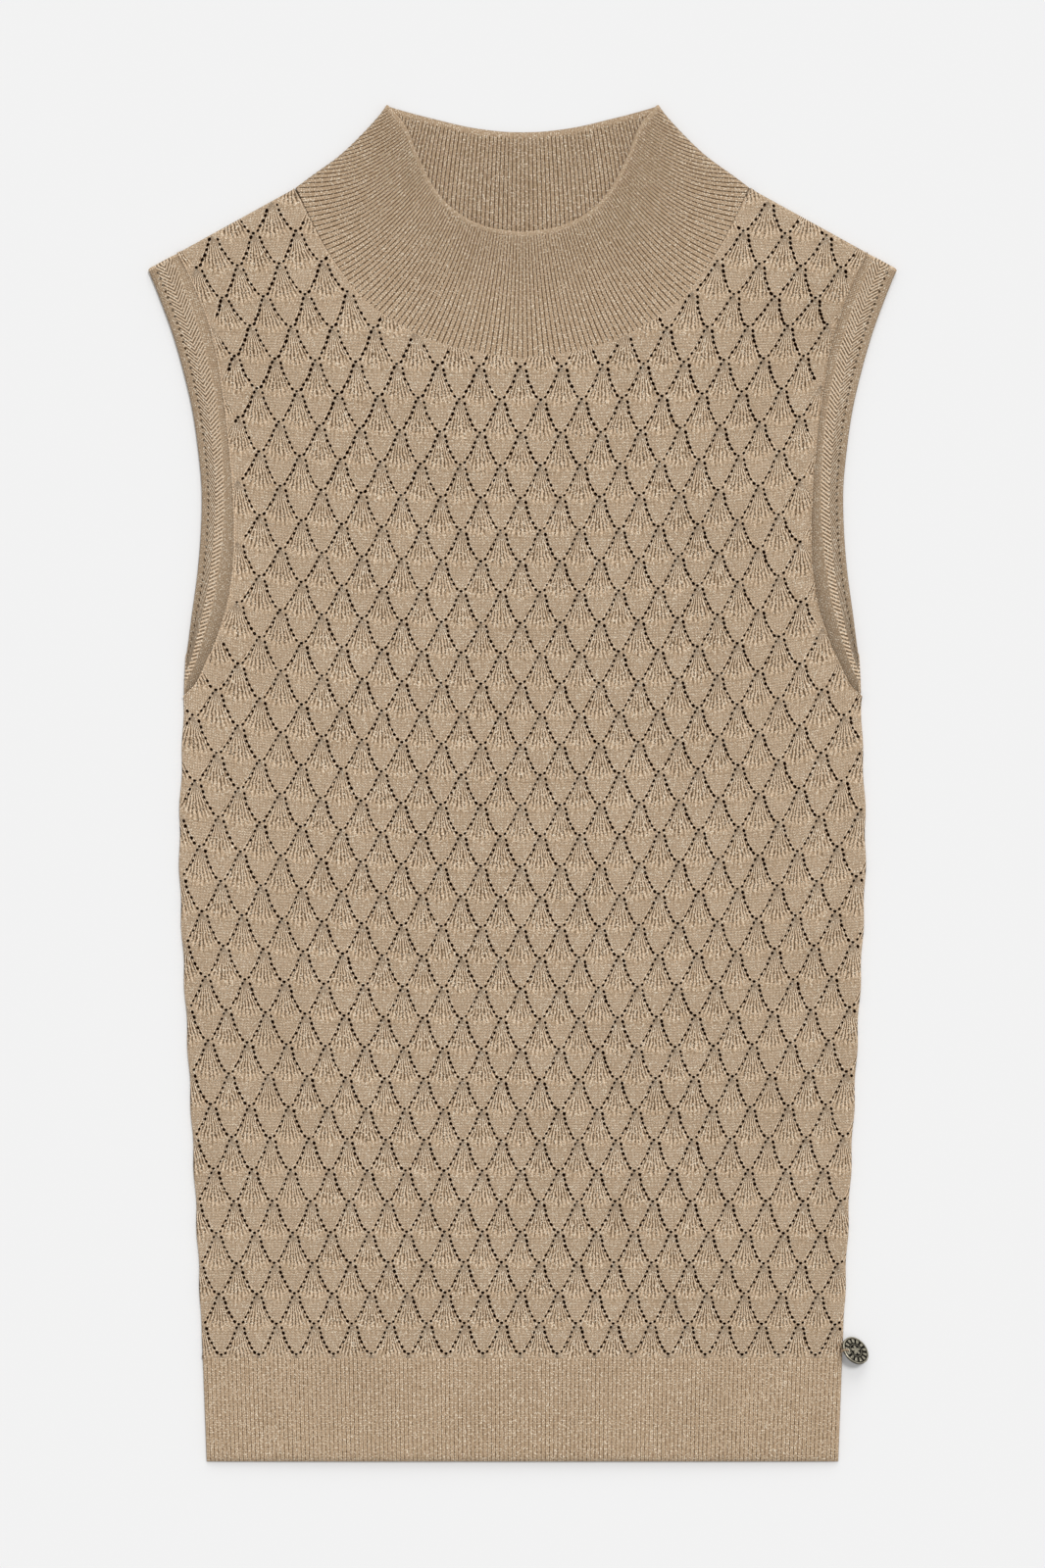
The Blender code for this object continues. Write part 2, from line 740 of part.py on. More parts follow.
def charm_loop(material):
    knots = loop_path()
    count = len(knots)
    sides = 6
    line = []
    for k in range(count):
        a, b, c, d = (knots[(k + shift) % count] for shift in (-1, 0, 1, 2))
        line += [bend(a, b, c, d, t) for t in (0.0, 1 / 3, 2 / 3)]
    points, faces = [], []
    for k, place in enumerate(line):
        along = (line[(k + 1) % len(line)] - line[k - 1]).normalized()
        sideways = Vector((0, 1, 0)) - along * along.y
        sideways.normalize()
        other = along.cross(sideways)
        for corner in range(sides):
            angle = math.tau * corner / sides
            outward = sideways * math.cos(angle) + other * math.sin(angle)
            points.append(place + outward * THREAD_RADIUS)
    for k in range(len(line)):
        after = (k + 1) % len(line)
        for corner in range(sides):
            turn = (corner + 1) % sides
            faces.append((k * sides + corner, k * sides + turn, after * sides + turn, after * sides + corner))
    return make_object("charm_loop", points, faces, material, smooth_angle=80)


def main():
    clear_scene()
    pointelle = make_material("pointelle_knit", (0.42, 0.31, 0.2), 0.85)
    rib = make_material("rib_knit", (0.45, 0.33, 0.22), 0.85)
    band = make_material("band_knit", (0.43, 0.31, 0.21), 0.85)
    front_panel(pointelle)
    back_panel(pointelle)
    hem_ribs(rib)
    collar(rib)
    armhole_band("armhole_band_right", 1, band)
    armhole_band("armhole_band_left", -1, band)
    charm(make_material("old_metal", (0.16, 0.15, 0.11), 0.45, 0.9))
    charm_loop(make_material("sewing_thread", (0.3, 0.22, 0.14), 0.8))


main()
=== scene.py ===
"""The looks of a sleeveless pointelle knit vest, laid flat on its back on a pale floor.

Sizes are in millimetres and become metres where a mesh is made. The axes are the frame's: +X to the
right as one looks at the front, +Y from the hem to the neck, +Z up. Heights in the tables count from
the hem. Every cloth piece stands for its solid and follows the same outline tables.
"""

import math
from functools import partialmethod

import bpy
import numpy as np
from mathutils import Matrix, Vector
from mathutils.geometry import delaunay_2d_cdt

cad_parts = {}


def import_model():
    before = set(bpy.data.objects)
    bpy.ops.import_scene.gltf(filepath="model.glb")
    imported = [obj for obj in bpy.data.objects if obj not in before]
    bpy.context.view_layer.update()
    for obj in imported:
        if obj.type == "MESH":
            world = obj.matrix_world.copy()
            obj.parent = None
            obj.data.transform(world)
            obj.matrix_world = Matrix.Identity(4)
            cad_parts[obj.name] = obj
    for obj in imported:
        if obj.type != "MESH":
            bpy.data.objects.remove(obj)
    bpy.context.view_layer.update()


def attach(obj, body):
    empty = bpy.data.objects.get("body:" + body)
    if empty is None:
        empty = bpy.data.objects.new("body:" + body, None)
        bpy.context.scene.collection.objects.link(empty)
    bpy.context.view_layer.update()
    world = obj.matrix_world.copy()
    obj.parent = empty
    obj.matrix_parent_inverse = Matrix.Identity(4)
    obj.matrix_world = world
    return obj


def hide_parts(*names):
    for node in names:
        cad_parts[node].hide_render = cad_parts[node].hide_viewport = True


MM = 0.001

# Driving dimensions, as in the solids
LENGTH = 692.0
WALL = 1.4
LAYER_GAP = 0.3
LOFT = 1.2
LOFT_END = 30.0
LOFT_RUN = 90.0
ARMHOLE_LOW = 412.0
SHOULDER_TIP = 608.0
SHOULDER_NECK = 649.0
SIDE_TOP = 390.0
HEM_HEIGHT = 53.0
FRONT_LOW = WALL + LAYER_GAP
STACK = 2 * WALL + LAYER_GAP
FOLD_CENTRE = STACK / 2
GARMENT = "garment"

# Pointelle lattice: places count half repeats, columns across and rows up
LEAF_COLUMNS = 17.5
LEAF_HALF = 15.5
LEAF_FIRST = 55.5
LEAF_ROWS = 39
LEAF_REACH = 19  # columns charted on each side of the middle
# How the cloth lies, by row: the rows' bow at the sides, their lift, their droop towards the shoulders,
# the columns' spread, and the pull of the underarm
LEAF_LIE = (
    (0, -1.0, 0, 0, 0, 0), (4, -1.0, 0, 0, 0, 0), (8, 3.3, 0, 0, 0, 0),
    (12, 7.0, 0, 0, 0, 0), (16, 11.7, 0, 0, 0, 1.0), (20, 11.7, 0, 0, 0, 9.0),
    (24, 11.7, 0, 0, 0.3, 12.0), (27, 11.7, 0.6, 0, 0.5, 9.0), (30, 11.7, 3.8, 0, 2.3, 2.0),
    (32, 11.7, 6.7, 6.0, 5.0, 0), (33, 11.7, 9.0, 12.0, 7.4, 0), (34, 11.7, 11.6, 24.0, 11.5, 0),
    (36, 11.7, 13.2, 26.0, 17.5, 0), (40, 11.7, 15.0, 26.0, 26.0, 0),
)
LEAF_LEAN = 1.2
DROOP_START = 0.45  # share of the half width
PULL_END = 1.1
COLUMN_WIDTH = 10.0  # about
BACK_SHIFT = (0.55, 0.4)  # of the back's lattice, so that few eyelets lie over each other
WALES = 7.0  # stitches in half a repeat's width
COURSES = 12.0  # courses in half a repeat's height
# The eyelets of one side of a leaf, from the bottom centre upwards, in half repeats
EYELET_CHAIN = {
    "left": ((0.215, 0.08), (0.354, 0.225), (0.475, 0.385), (0.6, 0.54), (0.66, 0.7), (0.72, 0.86)),
    "right": ((0.235, 0.067), (0.368, 0.225), (0.53, 0.38), (0.675, 0.54), (0.76, 0.7), (0.875, 0.87)),
}
EYELET_CORNERS = 6
EYELET_RIM = 0.18  # how far outside an opening the front's cloth starts to turn in
EYELET_RADIUS = {"left": 0.79, "right": 0.65, "bottom": 0.7}
EYELET_LONG = 1.12  # the square root of an eyelet's length along the chain over its width
EYELET_THROAT = 0.4  # what the front's eyelets narrow to
EYELET_DEPTH = 1.2  # how far down that is
DEPTH_BACK = 0.5
# How much painted shade the back's eyelets carry
EYELET_SHADE_BACK = 0.4  # against the front's 1
EYELET_STRAY = 0.09  # spread of the eyelets' places
EYELET_MARGIN = {"side": 1.8, "arm": 4.0, "sewn": 1.6}
# The cloth is drawn towards the neck, so the chains that lead there are stretched open
NECK_PULL = {"row": 22, "column": 2, "run": 8, "left": -0.15, "right": 0.22}
TOP_PULL = {"row": 26, "run": 6, "wider": 0.1}
# Points of the mesh in a leaf: up its middle, and on both sides of that
LEAF_SPINE = (0.35, 0.55, 0.72, 0.82, 0.95, 1.2, 1.45, 1.7)
LEAF_FLANKS = ((0.22, 0.5), (0.3, 0.72), (0.3, 0.84), (0.55, 0.8), (0.6, 0.92))
LEAF_FLANKS += ((0.32, 1.05), (0.5, 1.2), (0.25, 1.35), (0.2, 1.6))
GRID_MARGIN = 2.2  # their least distance from the panel's edge
GRID_CLEAR = 1.35  # and from an eyelet's middle
GRID_CELL = 4
SIDE_WAVE = 0.35
SEWN_UNDER = 2.0  # how far a panel reaches under the piece that it is sewn to
SEWN_TAPER = 6
LEAF_RISE = 0.22
EDGE_LEVEL = 0.9  # how high the two layers meet at the hem and the side seams
EDGE_RUN = 3.0
# Three rows of points along a panel's edge: how far in at a side and at a seam, how far down at a side, as a
# share of the drop, and at a seam, and the back's height
PANEL_EDGE = (
    (0.0, -SEWN_UNDER, 1.0, 1.0, EDGE_LEVEL),
    (0.35, 0.3, 0.4, 0.05, 0.6 * EDGE_LEVEL),
    (1.1, 1.2, 0.1, 0.0, 0.5),
)
ARM_POINTS = 90
NECK_POINTS = 60

# Outlines of the right half: (height above the hem, distance from the centre line)
SIDE = (
    (0, 161.0), (53, 163.0), (126, 166.3), (206, 170.3), (286, 174.3), (326, 174.8), (366, 173.3),
    (SIDE_TOP, 172.8),
)
ARM_EDGE = (
    (ARMHOLE_LOW, 171.6), (436, 167.9), (456, 165.3), (476, 163.8), (496, 163.5), (516, 165.3),
    (536, 168.2), (556, 172.8), (576, 178.6), (596, 186.0), (SHOULDER_TIP, 191.0),
)
ARM_SEAM = (
    (SIDE_TOP, 172.8), (397, 166.0), (409, 160.0), (420, 155.3), (434, 150.6), (449, 148.0),
    (466, 146.6), (496, 147.4), (528, 150.4), (555, 154.0), (573, 157.6), (587, 162.0), (599, 167.0),
    (609.5, 172.0), (616.3, 175.7),
)
NECK_SEAM = (
    (562, 0), (566, 26.5), (571, 45.0), (578, 60.0), (593, 81.5), (616, 99.0), (634.5, 109.5),
    (SHOULDER_NECK, 116.5),
)
NECK_SEAM_BACK = ((613, 0), (616, 40.0), (627, 80.0), (SHOULDER_NECK, 116.5))
COLLAR_TOP = (
    (626.5, 0), (628, 11.5), (630.5, 21.5), (637, 33.5), (648.5, 44.5), (667, 54.0), (681, 60.0),
    (LENGTH, 69.0),
)
COLLAR_TOP_BACK = ((677.8, 0), (678.3, 11.7), (680.7, 28.7), (685.5, 48.0), (LENGTH, 69.0))
COLLAR_FOLD = (
    (649.3, 115.9), (655.5, 107.8), (665.5, 94.0), (675.5, 83.3), (685.5, 74.0), (LENGTH, 69.0),
)
SHOULDER = ((SHOULDER_TIP, 191.0), (SHOULDER_NECK, 116.5))

# Ribs
HEM_RIB_COUNT = 153
HEM_RIB_STEPS = 6
HEM_ROWS = (0.0, 0.25, 0.8, 1.6, 3.0, *np.linspace(6, 50, 20), 51.6, 52.8, 53.6)
FRONT_RIBS = 111  # of the collar, along the neck seam
BACK_RIBS = 106
FOLD_RIBS = 2
COLLAR_TWIST = 16.5  # ribs that come round each fold to the front, up to the top edge
RIB_RISE = 0.55
RIB_MIDDLE = 0.55  # the level of rib_wave that lies on the solid's face
FLOOR_LIFT = 0.25  # keeps the relief of the underside off the floor
COURSE = 1.29  # height of one course
COLLAR_BEND = 0.22
COLLAR_LIFT = 1.2  # how far the front of the neck's top edge stands off the back
COLLAR_FOLD_OUT = (0.68, 0.73)
BACK_POINTS = 40
COLLAR_STEPS = 6  # points for each rib
COLLAR_COURSES = 52
INSIDE = 100.0  # added to the courses of the collar's inner face
# The collar's rows, up its outer face and down its inner one: share of its height, on the outer face or not,
# how far drawn into the wall, and share of the ribs' relief
COLLAR_ROWS = (
    *((0.0, True, 0.15, 0.0), (0.01, True, 0.05, 0.1), (0.025, True, 0.0, 0.2), (0.05, True, 0.0, 0.6)),
    *((across, True, 0.0, 1.0) for across in np.linspace(0.09, 0.93, 20)),
    *((0.95, True, 0.05, 0.5), (0.962, True, 0.12, 0.1), (0.975, True, -0.1, 0.0), (0.988, True, -0.1, 0.0)),
    *((0.996, True, 0.15, 0.0), (1.0, True, 0.6, 0.0)),
    *((1.0, False, 0.6, 0.0), (0.994, False, 0.2, 0.1), (0.965, False, 0.0, 0.1), (0.95, False, 0.0, 0.6)),
    *((across, False, 0.0, 1.0) for across in np.linspace(0.93, 0.05, 20)),
    (0.0, False, 0.0, 0.3),
)

# Armhole bands
UNDERARM_OUT = (0.9985, 0.055)
SHOULDER_OUT = (0.482, 0.876)
UNDERARM_TRIM = 1.42
UNDERARM_RUN = 0.12
UNDERARM_TAPER = 0.7
BAND_STEPS = (180, 8, 90, 8)  # round a band: on the front, in a fold, on the back and in a fold
# A band's rows: distance from its free edge, or None beyond its seam, on the outer face or not, and rise
BAND_ROWS = (
    *((None, True, -0.5), (14.2, True, -0.15), (13.4, True, 0.0), (12.0, True, 0.05), (10.0, True, 0.05)),
    *((8.0, True, 0.0), (6.4, True, 0.0), (4.8, True, -0.1), (4.1, True, -0.2), (3.5, True, 0.05)),
    *((2.7, True, 0.2), (1.8, True, 0.1), (1.0, True, -0.3), (0.4, True, -0.9), (0.0, True, -1.6)),
    *((0.0, False, 0.0), (7.0, False, 0.0), (None, False, 0.0)),
)
STITCH_STEPS = 4
STITCH_SIDES = 6

# Charm
COIN_RADIUS = 7.7
COIN_OVAL = 0.87
COIN_THICKNESS = 1.5
COIN_TILT = math.radians(40)
COIN_LONG_AXIS = math.radians(-44)
COIN_CENTRE = (169.4, 57.0)
COIN_CHAMFER = 0.25
COIN_RELIEF = 0.32
COIN_LIFT = 0.06
HOLE_PLACE = (-3.29, 3.65)
HOLE_RADIUS = 0.85
COIN_STEPS = 144
HOLE_STEPS = 24
# Rings of points on the coin's face, as shares of its radius
COIN_RINGS = (0.04, 0.09, 0.11, 0.16, 0.2, 0.24, 0.28, 0.32, 0.36, 0.4, 0.44, 0.455, 0.475)
COIN_RINGS += (0.5, 0.525, 0.545, 0.57, 0.59, 0.64, 0.7, 0.76, 0.82, 0.85, 0.88, 0.91, 0.95)
THREAD_RADIUS = 0.3
THREAD_ROOT = (163.4, 2.4)
THREAD_TWISTS = 18
THREAD_SIDES = 7

# The picture: 0.5 mm for each of its pixels
FRAME_HEIGHT = 800.0
FRAME_MIDDLE = (0.0, -0.5)
LENS = 100.0
SENSOR = 36.0
# Distant lights: strength, width in degrees, and the place that the light comes from
SUNS = {"key": (1.4, 14, (0.28, 0.42, 1.0)), "low": (0.85, 35, (0.1, 1.0, 0.6))}
FLOOR_HALF = 6000.0

# Colours. The yarn's deep and lit are its colour in painted shade and in painted light.
YARN = {
    # The two darkest are painted shade, inside the eyelets and round their rims.
    "hole_shade": (0.02, 0.006, 0.001, 1),
    "rim": (0.13, 0.055, 0.016, 1),
    "deep": (0.09, 0.052, 0.024, 1),
    "mid": (0.46, 0.325, 0.205, 1),
    "lit": (0.74, 0.56, 0.39, 1),
}
# The pale flecks of the metallic thread: painted glints.
PAINTED_THREAD_GLINT = (1.0, 0.88, 0.7, 1)
METAL = {"dark": (0.008, 0.007, 0.005, 1), "worn": (0.4, 0.365, 0.28, 1)}
PALE = (0.82, 0.82, 0.82, 1)
YARN_GLOSS = 0.2
PATCHES = 0.16  # how much the knit's colour changes over wide patches

# Noise: scale for each metre, and detail
NOISE = {
    "fleck": (900.0, 3.0),
    "patch": (28.0, 2.0),
    "fuzz": (3600.0, 2.0),
    "glint": (1700.0, 0.0),
    "wander": (260.0, 1.0),
    "crumble": (1000.0, 1.0),
    "ragged": (420.0, 2.0),
    "cloud": (700.0, 4.0),
}
# Knit colours go from deep at 0 to lit at 1, painted shade and painted light that follow the relief: what the
# relief adds, and the level in its valleys
PLAIN_SHADE = (0.14, 0.64)
FAN_SHADE = (1.65, 0.01)
FAN_TOP = 2.1  # where a leaf's wales would meet, and how many lead there
FAN_WALES = 5.5
FAN_START = (0.55, 1.1)
FAN_WHOLE = (1.1, 1.6)
LEAF_LIP = ((0.7, 0.78), (0.92, 0.8))
# Where the painted shade of a rib's valley lies, across the rib
RIB_VALLEY_SHADE = (0.32, 0.47)
COLLAR_EDGE = ((49.6, 50.6), (53.0, 52.5))  # the plain courses at its top
# The bands' chevrons, in millimetres from the free edge, and the gaps beside the rolled edge, whose depth
# also sets the painted shade in them
CHEVRON = {"middle": 8.6, "slope": 1.1, "pitch": 2.0, "zone": ((3.7, 4.6), (14.4, 13.2))}
GAP = {"from_edge": 4.1, "pitch": 3.3, "size": (0.8, 0.4), "depth": -1.2}


# Curves and the lie of the cloth


def tabled(rows, height):
    """Distance from the centre line at this height, straight between a table's rows."""
    return np.interp(height, [row[0] for row in rows], [row[1] for row in rows])


def join(*columns):
    return np.column_stack(columns)


def unit(vectors):
    return vectors / np.linalg.norm(vectors, axis=1)[:, None]


def even(line, count):
    """The line with count + 1 points at even distances along it."""
    reach = np.concatenate([[0], np.cumsum(np.linalg.norm(np.diff(line, axis=0), axis=1))])
    targets = np.linspace(0, reach[-1], count + 1)
    return join(np.interp(targets, reach, line[:, 0]), np.interp(targets, reach, line[:, 1]))


def curve(a, b, c, d):
    """Points on a smooth curve from b up to c, with a before them and d after."""
    t = np.linspace(0, 1, 12, endpoint=False)[:, None]
    return 0.5 * (2 * b + (c - a) * t + (2 * a - 5 * b + 4 * c - d) * t**2 + (3 * b - a - 3 * c + d) * t**3)


def smooth_line(rows, count):
    """count + 1 points, evenly spaced on a smooth curve through the rows of one table."""
    knots = np.array([(x, height - LENGTH / 2) for height, x in rows])
    knots = np.vstack([2 * knots[0] - knots[1], knots, 2 * knots[-1] - knots[-2]])
    fine = [curve(*four) for four in zip(knots, knots[1:], knots[2:], knots[3:])]
    return even(np.vstack([*fine, knots[-2]]), count)


def trimmed(line, start, end, count):
    """The line without these lengths at its start and end, with count + 1 points."""
    whole = np.linalg.norm(np.diff(line, axis=0), axis=1).sum()
    return reach(line, np.linspace(start / whole, 1 - end / whole, count + 1))


def mirrored(line):
    """The left half of a line that starts on the centre line, then the line itself."""
    return np.vstack([line[:0:-1] * (-1, 1), line])


def reach(line, share):
    """The points at these shares, 0 to 1, of an evenly spaced line."""
    place = np.clip(share, 0, 1) * (len(line) - 1)
    index = np.arange(len(line))
    return np.stack([np.interp(place, index, line[:, 0]), np.interp(place, index, line[:, 1])], axis=-1)


def smoothstep(value):
    value = np.clip(value, 0, 1)
    return value * value * (3 - 2 * value)


def half_width(y):
    """Half of the vest's width at this place along Y."""
    return tabled((*SIDE, *ARM_EDGE, SHOULDER[1], *COLLAR_FOLD), y + LENGTH / 2)


def loft(x, y):
    """How far the front layer stands above a dead flat one."""
    share = np.minimum(1, np.abs(x) / half_width(y))
    return LOFT * (1 - share**4) * smoothstep((LENGTH / 2 - LOFT_END - y) / LOFT_RUN)


def leaf_place(column, row):
    """The plan's place of a place in the lattice."""
    rows = [lie[0] for lie in LEAF_LIE]
    bow, lift, droop, spread, pull = (np.interp(row, rows, [lie[k] for lie in LEAF_LIE]) for k in range(1, 6))
    height = LEAF_FIRST + LEAF_HALF * row
    share = column / LEAF_COLUMNS
    out = np.abs(share)
    near = np.minimum(out, PULL_END)
    rise = bow * share**2 + lift - droop * np.maximum(0, out - DROOP_START) + pull * near**6
    wider = spread * (1.9 - 0.9 * out) + pull * near**5
    x = share * (tabled(SIDE, np.minimum(height, SIDE_TOP)) + wider) - LEAF_LEAN * (1 - share) ** 2
    return join(x, height + rise - LENGTH / 2)


def lattice_of(plan):
    """The lattice's place of a place in the plan, which is leaf_place turned round."""
    column = plan[:, 0] / COLUMN_WIDTH
    row = (plan[:, 1] + LENGTH / 2 - LEAF_FIRST) / LEAF_HALF
    for _ in range(12):
        off = plan - leaf_place(column, row)
        column = column + off[:, 0] / COLUMN_WIDTH
        row = row + off[:, 1] / LEAF_HALF
    return column, row


def leaf_local(column, row):
    """Place in its leaf: x is -1 to 1 across, y is 0 at the bottom and 2 at the top."""
    first = (row + column) / 2
    second = (row - column) / 2
    first, second = first - np.floor(first), second - np.floor(second)
    return first - second, first + second


# Meshes


def add(name, data):
    made = bpy.data.objects.new(name, data)
    bpy.context.scene.collection.objects.link(made)
    return made


def make_piece(name, points, faces, material, uvs=None, smooth=True):
    mesh = bpy.data.meshes.new(name)
    mesh.from_pydata((np.asarray(points) * MM).tolist(), [], [tuple(int(k) for k in face) for face in faces])
    if uvs is not None:
        layer = mesh.uv_layers.new(name="knit")
        corners = np.empty(len(mesh.loops), np.int32)
        mesh.loops.foreach_get("vertex_index", corners)
        layer.data.foreach_set("uv", np.asarray(uvs, np.float32)[corners].ravel())
    mesh.polygons.foreach_set("use_smooth", [smooth] * len(mesh.polygons))
    mesh.materials.append(material)
    return add(name, mesh)


def grid_faces(rows, columns, closed=False):
    """Quads of a grid of points, numbered row by row.

    closed joins the rows' ends, and the last row to the first."""
    made = []
    for row in range(rows if closed else rows - 1):
        for column in range(columns if closed else columns - 1):
            after = (column + 1) % columns
            low, high = row * columns, (row + 1) % rows * columns
            made.append((low + column, low + after, high + after, high + column))
    return made


def grid_piece(name, rows, material, closed=False, turned=False):
    """A piece from rows of points and their places in the knit. turned makes its faces look the other way."""
    faces = grid_faces(len(rows), len(rows[0][0]), closed)
    if turned:
        faces = [face[::-1] for face in faces]
    points, uvs = (np.vstack(part) for part in zip(*rows))
    return make_piece(name, points, faces, material, uvs)


def triangulated(points, loops, near):
    """Triangles inside the loops, as numbers of the points."""
    made = delaunay_2d_cdt([Vector(point) for point in points], [], loops, 1, near)
    source = np.array([numbers[0] for numbers in made[3]])
    return source[np.array([face for face in made[2] if len(face) == 3])]


def painted(piece, name, values, sharp):
    """Gives the points a value each for the material, and edges over this angle a crease."""
    piece.data.attributes.new(name, "FLOAT", "POINT").data.foreach_set("value", values)
    piece.data.set_sharp_from_angle(angle=math.radians(sharp))
    return piece


def inset(loop, distance):
    """A closed loop, turning left, moved in by this distance, or out where it is below 0."""
    ahead = np.roll(loop, -1, axis=0) - loop
    normal = unit(join(-ahead[:, 1], ahead[:, 0]))
    both = normal + np.roll(normal, 1, axis=0)
    both /= (both**2).sum(axis=1)[:, None] / 2
    return loop + both * np.reshape(distance, (-1, 1))


def distance_inside(points, loop):
    """Distance of each point from the loop, below 0 outside it, and the number of the loop's nearest edge."""
    best = np.full(len(points), np.inf)
    nearest = np.zeros(len(points), int)
    crossed = np.zeros(len(points), bool)
    for k, (a, b) in enumerate(zip(loop, np.roll(loop, -1, axis=0))):
        along = b - a
        share = np.clip((points - a) @ along / (along @ along), 0, 1)
        distance = np.linalg.norm(a + share[:, None] * along - points, axis=1)
        closer = distance < best
        best[closer] = distance[closer]
        nearest[closer] = k
        spans = (a[1] > points[:, 1]) != (b[1] > points[:, 1])
        if spans.any():
            crossed ^= spans & (points[:, 0] < a[0] + (points[:, 1] - a[1]) / along[1] * along[0])
    return np.where(crossed, best, -best), nearest


# Pointelle panels


def panel_outline(neck_rows):
    """A panel's outline, turning left from the hem's left end, and what kind of edge each point is on."""
    side = smooth_line([row for row in SIDE if row[0] >= HEM_HEIGHT], 110)
    arm = smooth_line(ARM_SEAM, ARM_POINTS)
    shoulder = even(np.array([arm[-1], (SHOULDER[1][1], SHOULDER_NECK - LENGTH / 2)]), 24)
    neck = mirrored(smooth_line(neck_rows, NECK_POINTS))[::-1]
    hem = even(np.array([side[0] * (-1, 1), side[0]]), 130)
    wave = SIDE_WAVE * np.cos(math.pi * (side[:, 1] + LENGTH / 2 - LEAF_FIRST) / LEAF_HALF)
    side = side + join(wave, 0 * wave) * smoothstep(np.linspace(0, 8, len(side)))[:, None]
    loop, kinds = [], []
    right = ((side, "side"), (arm, "arm"), (shoulder, "side"))
    left = [(run[::-1] * (-1, 1), kind) for run, kind in reversed(right)]
    for run, kind in ((hem, "sewn"), *right, (neck, "sewn"), *left):
        loop.append(run[:-1])
        kinds += [kind] * (len(run) - 1)
    return np.vstack(loop), np.array(kinds)


def leaf_relief(column, row):
    """Low along the lines of eyelets, level between them, and highest where the fan of wales starts."""
    x, y = leaf_local(column, row)
    across = 1 - np.clip(np.abs(x) / np.maximum(0.05, np.minimum(y, 2 - y)), 0, 1)
    along = np.interp(y, [0, 0.12, 0.7, 0.85, 1.6, 2.0], [0.5, 0.85, 0.9, 1.0, 0.9, 0.5])
    return LEAF_RISE * along * smoothstep(across * 3)


def eyelets(loop, kinds, shift, rng):
    """The eyelets' middles, radii and directions, with those that come too near an edge left out."""
    places, radii, turns = [], [], []
    for row in range(-1, LEAF_ROWS + 1):
        for column in range(-LEAF_REACH, LEAF_REACH + 1):
            if (row + column) % 2:
                continue
            places.append((column, row))
            radii.append(EYELET_RADIUS["bottom"])
            turns.append(0.0)
            pulled = smoothstep((row - NECK_PULL["row"]) / NECK_PULL["run"])
            pulled = pulled * smoothstep((NECK_PULL["column"] - column) / NECK_PULL["run"])
            drawn = 1 + TOP_PULL["wider"] * smoothstep((row - TOP_PULL["row"]) / TOP_PULL["run"])
            for side, sign in (("left", -1), ("right", 1)):
                for across, up in EYELET_CHAIN[side]:
                    places.append((column + sign * across, row + up))
                    radii.append(EYELET_RADIUS[side] * (1 + NECK_PULL[side] * pulled) * drawn)
                    turns.append(sign * math.radians(40 + 32 * up))
    places = np.array(places) + shift
    plan = leaf_place(places[:, 0], places[:, 1]) + rng.normal(0, EYELET_STRAY, (len(places), 2))
    radii = np.array(radii) * np.clip(rng.normal(1, 0.1, len(places)), 0.75, 1.15)
    distance, nearest = distance_inside(plan, loop)
    margin = np.array([EYELET_MARGIN[kind] for kind in kinds])
    keep = distance > margin[nearest]
    return plan[keep], radii[keep], np.array(turns)[keep]


def rings_round(plan, radius, turns, phase):
    """Points round each eyelet, on an ellipse turned along its chain."""
    angle = np.arange(EYELET_CORNERS) * math.tau / EYELET_CORNERS + phase
    long = np.outer(radius * EYELET_LONG, np.cos(angle))
    short = np.outer(radius / EYELET_LONG, np.sin(angle))
    cos, sin = np.cos(turns)[:, None], np.sin(turns)[:, None]
    return np.stack([plan[:, :1] + long * cos - short * sin, plan[:, 1:] + long * sin + short * cos], axis=-1)


def leaf_grid(loop, plan_of_eyelets, shift):
    """Points between the eyelets that carry the leaves' relief."""
    local = [(0.0, y) for y in LEAF_SPINE]
    local += [(x * side, y) for x, y in LEAF_FLANKS for side in (-1, 1)]
    places = []
    for row in range(-2, LEAF_ROWS + 1):
        for column in range(-LEAF_REACH, LEAF_REACH + 1):
            if (row + column) % 2 == 0:
                places += [(column + x, row + y) for x, y in local]
    places = np.array(places) + shift
    plan = leaf_place(places[:, 0], places[:, 1])
    distance, _ = distance_inside(plan, loop)
    plan = plan[distance > GRID_MARGIN]
    cells = {}
    for x, y in plan_of_eyelets:
        cells.setdefault((int(x // GRID_CELL), int(y // GRID_CELL)), []).append((x, y))
    around = [(i, j) for i in (-1, 0, 1) for j in (-1, 0, 1)]
    kept = []
    for x, y in plan:
        cell = int(x // GRID_CELL), int(y // GRID_CELL)
        near = [spot for i, j in around for spot in cells.get((cell[0] + i, cell[1] + j), ())]
        if all((spot[0] - x) ** 2 + (spot[1] - y) ** 2 > GRID_CLEAR**2 for spot in near):
            kept.append((x, y))
    return np.array(kept)


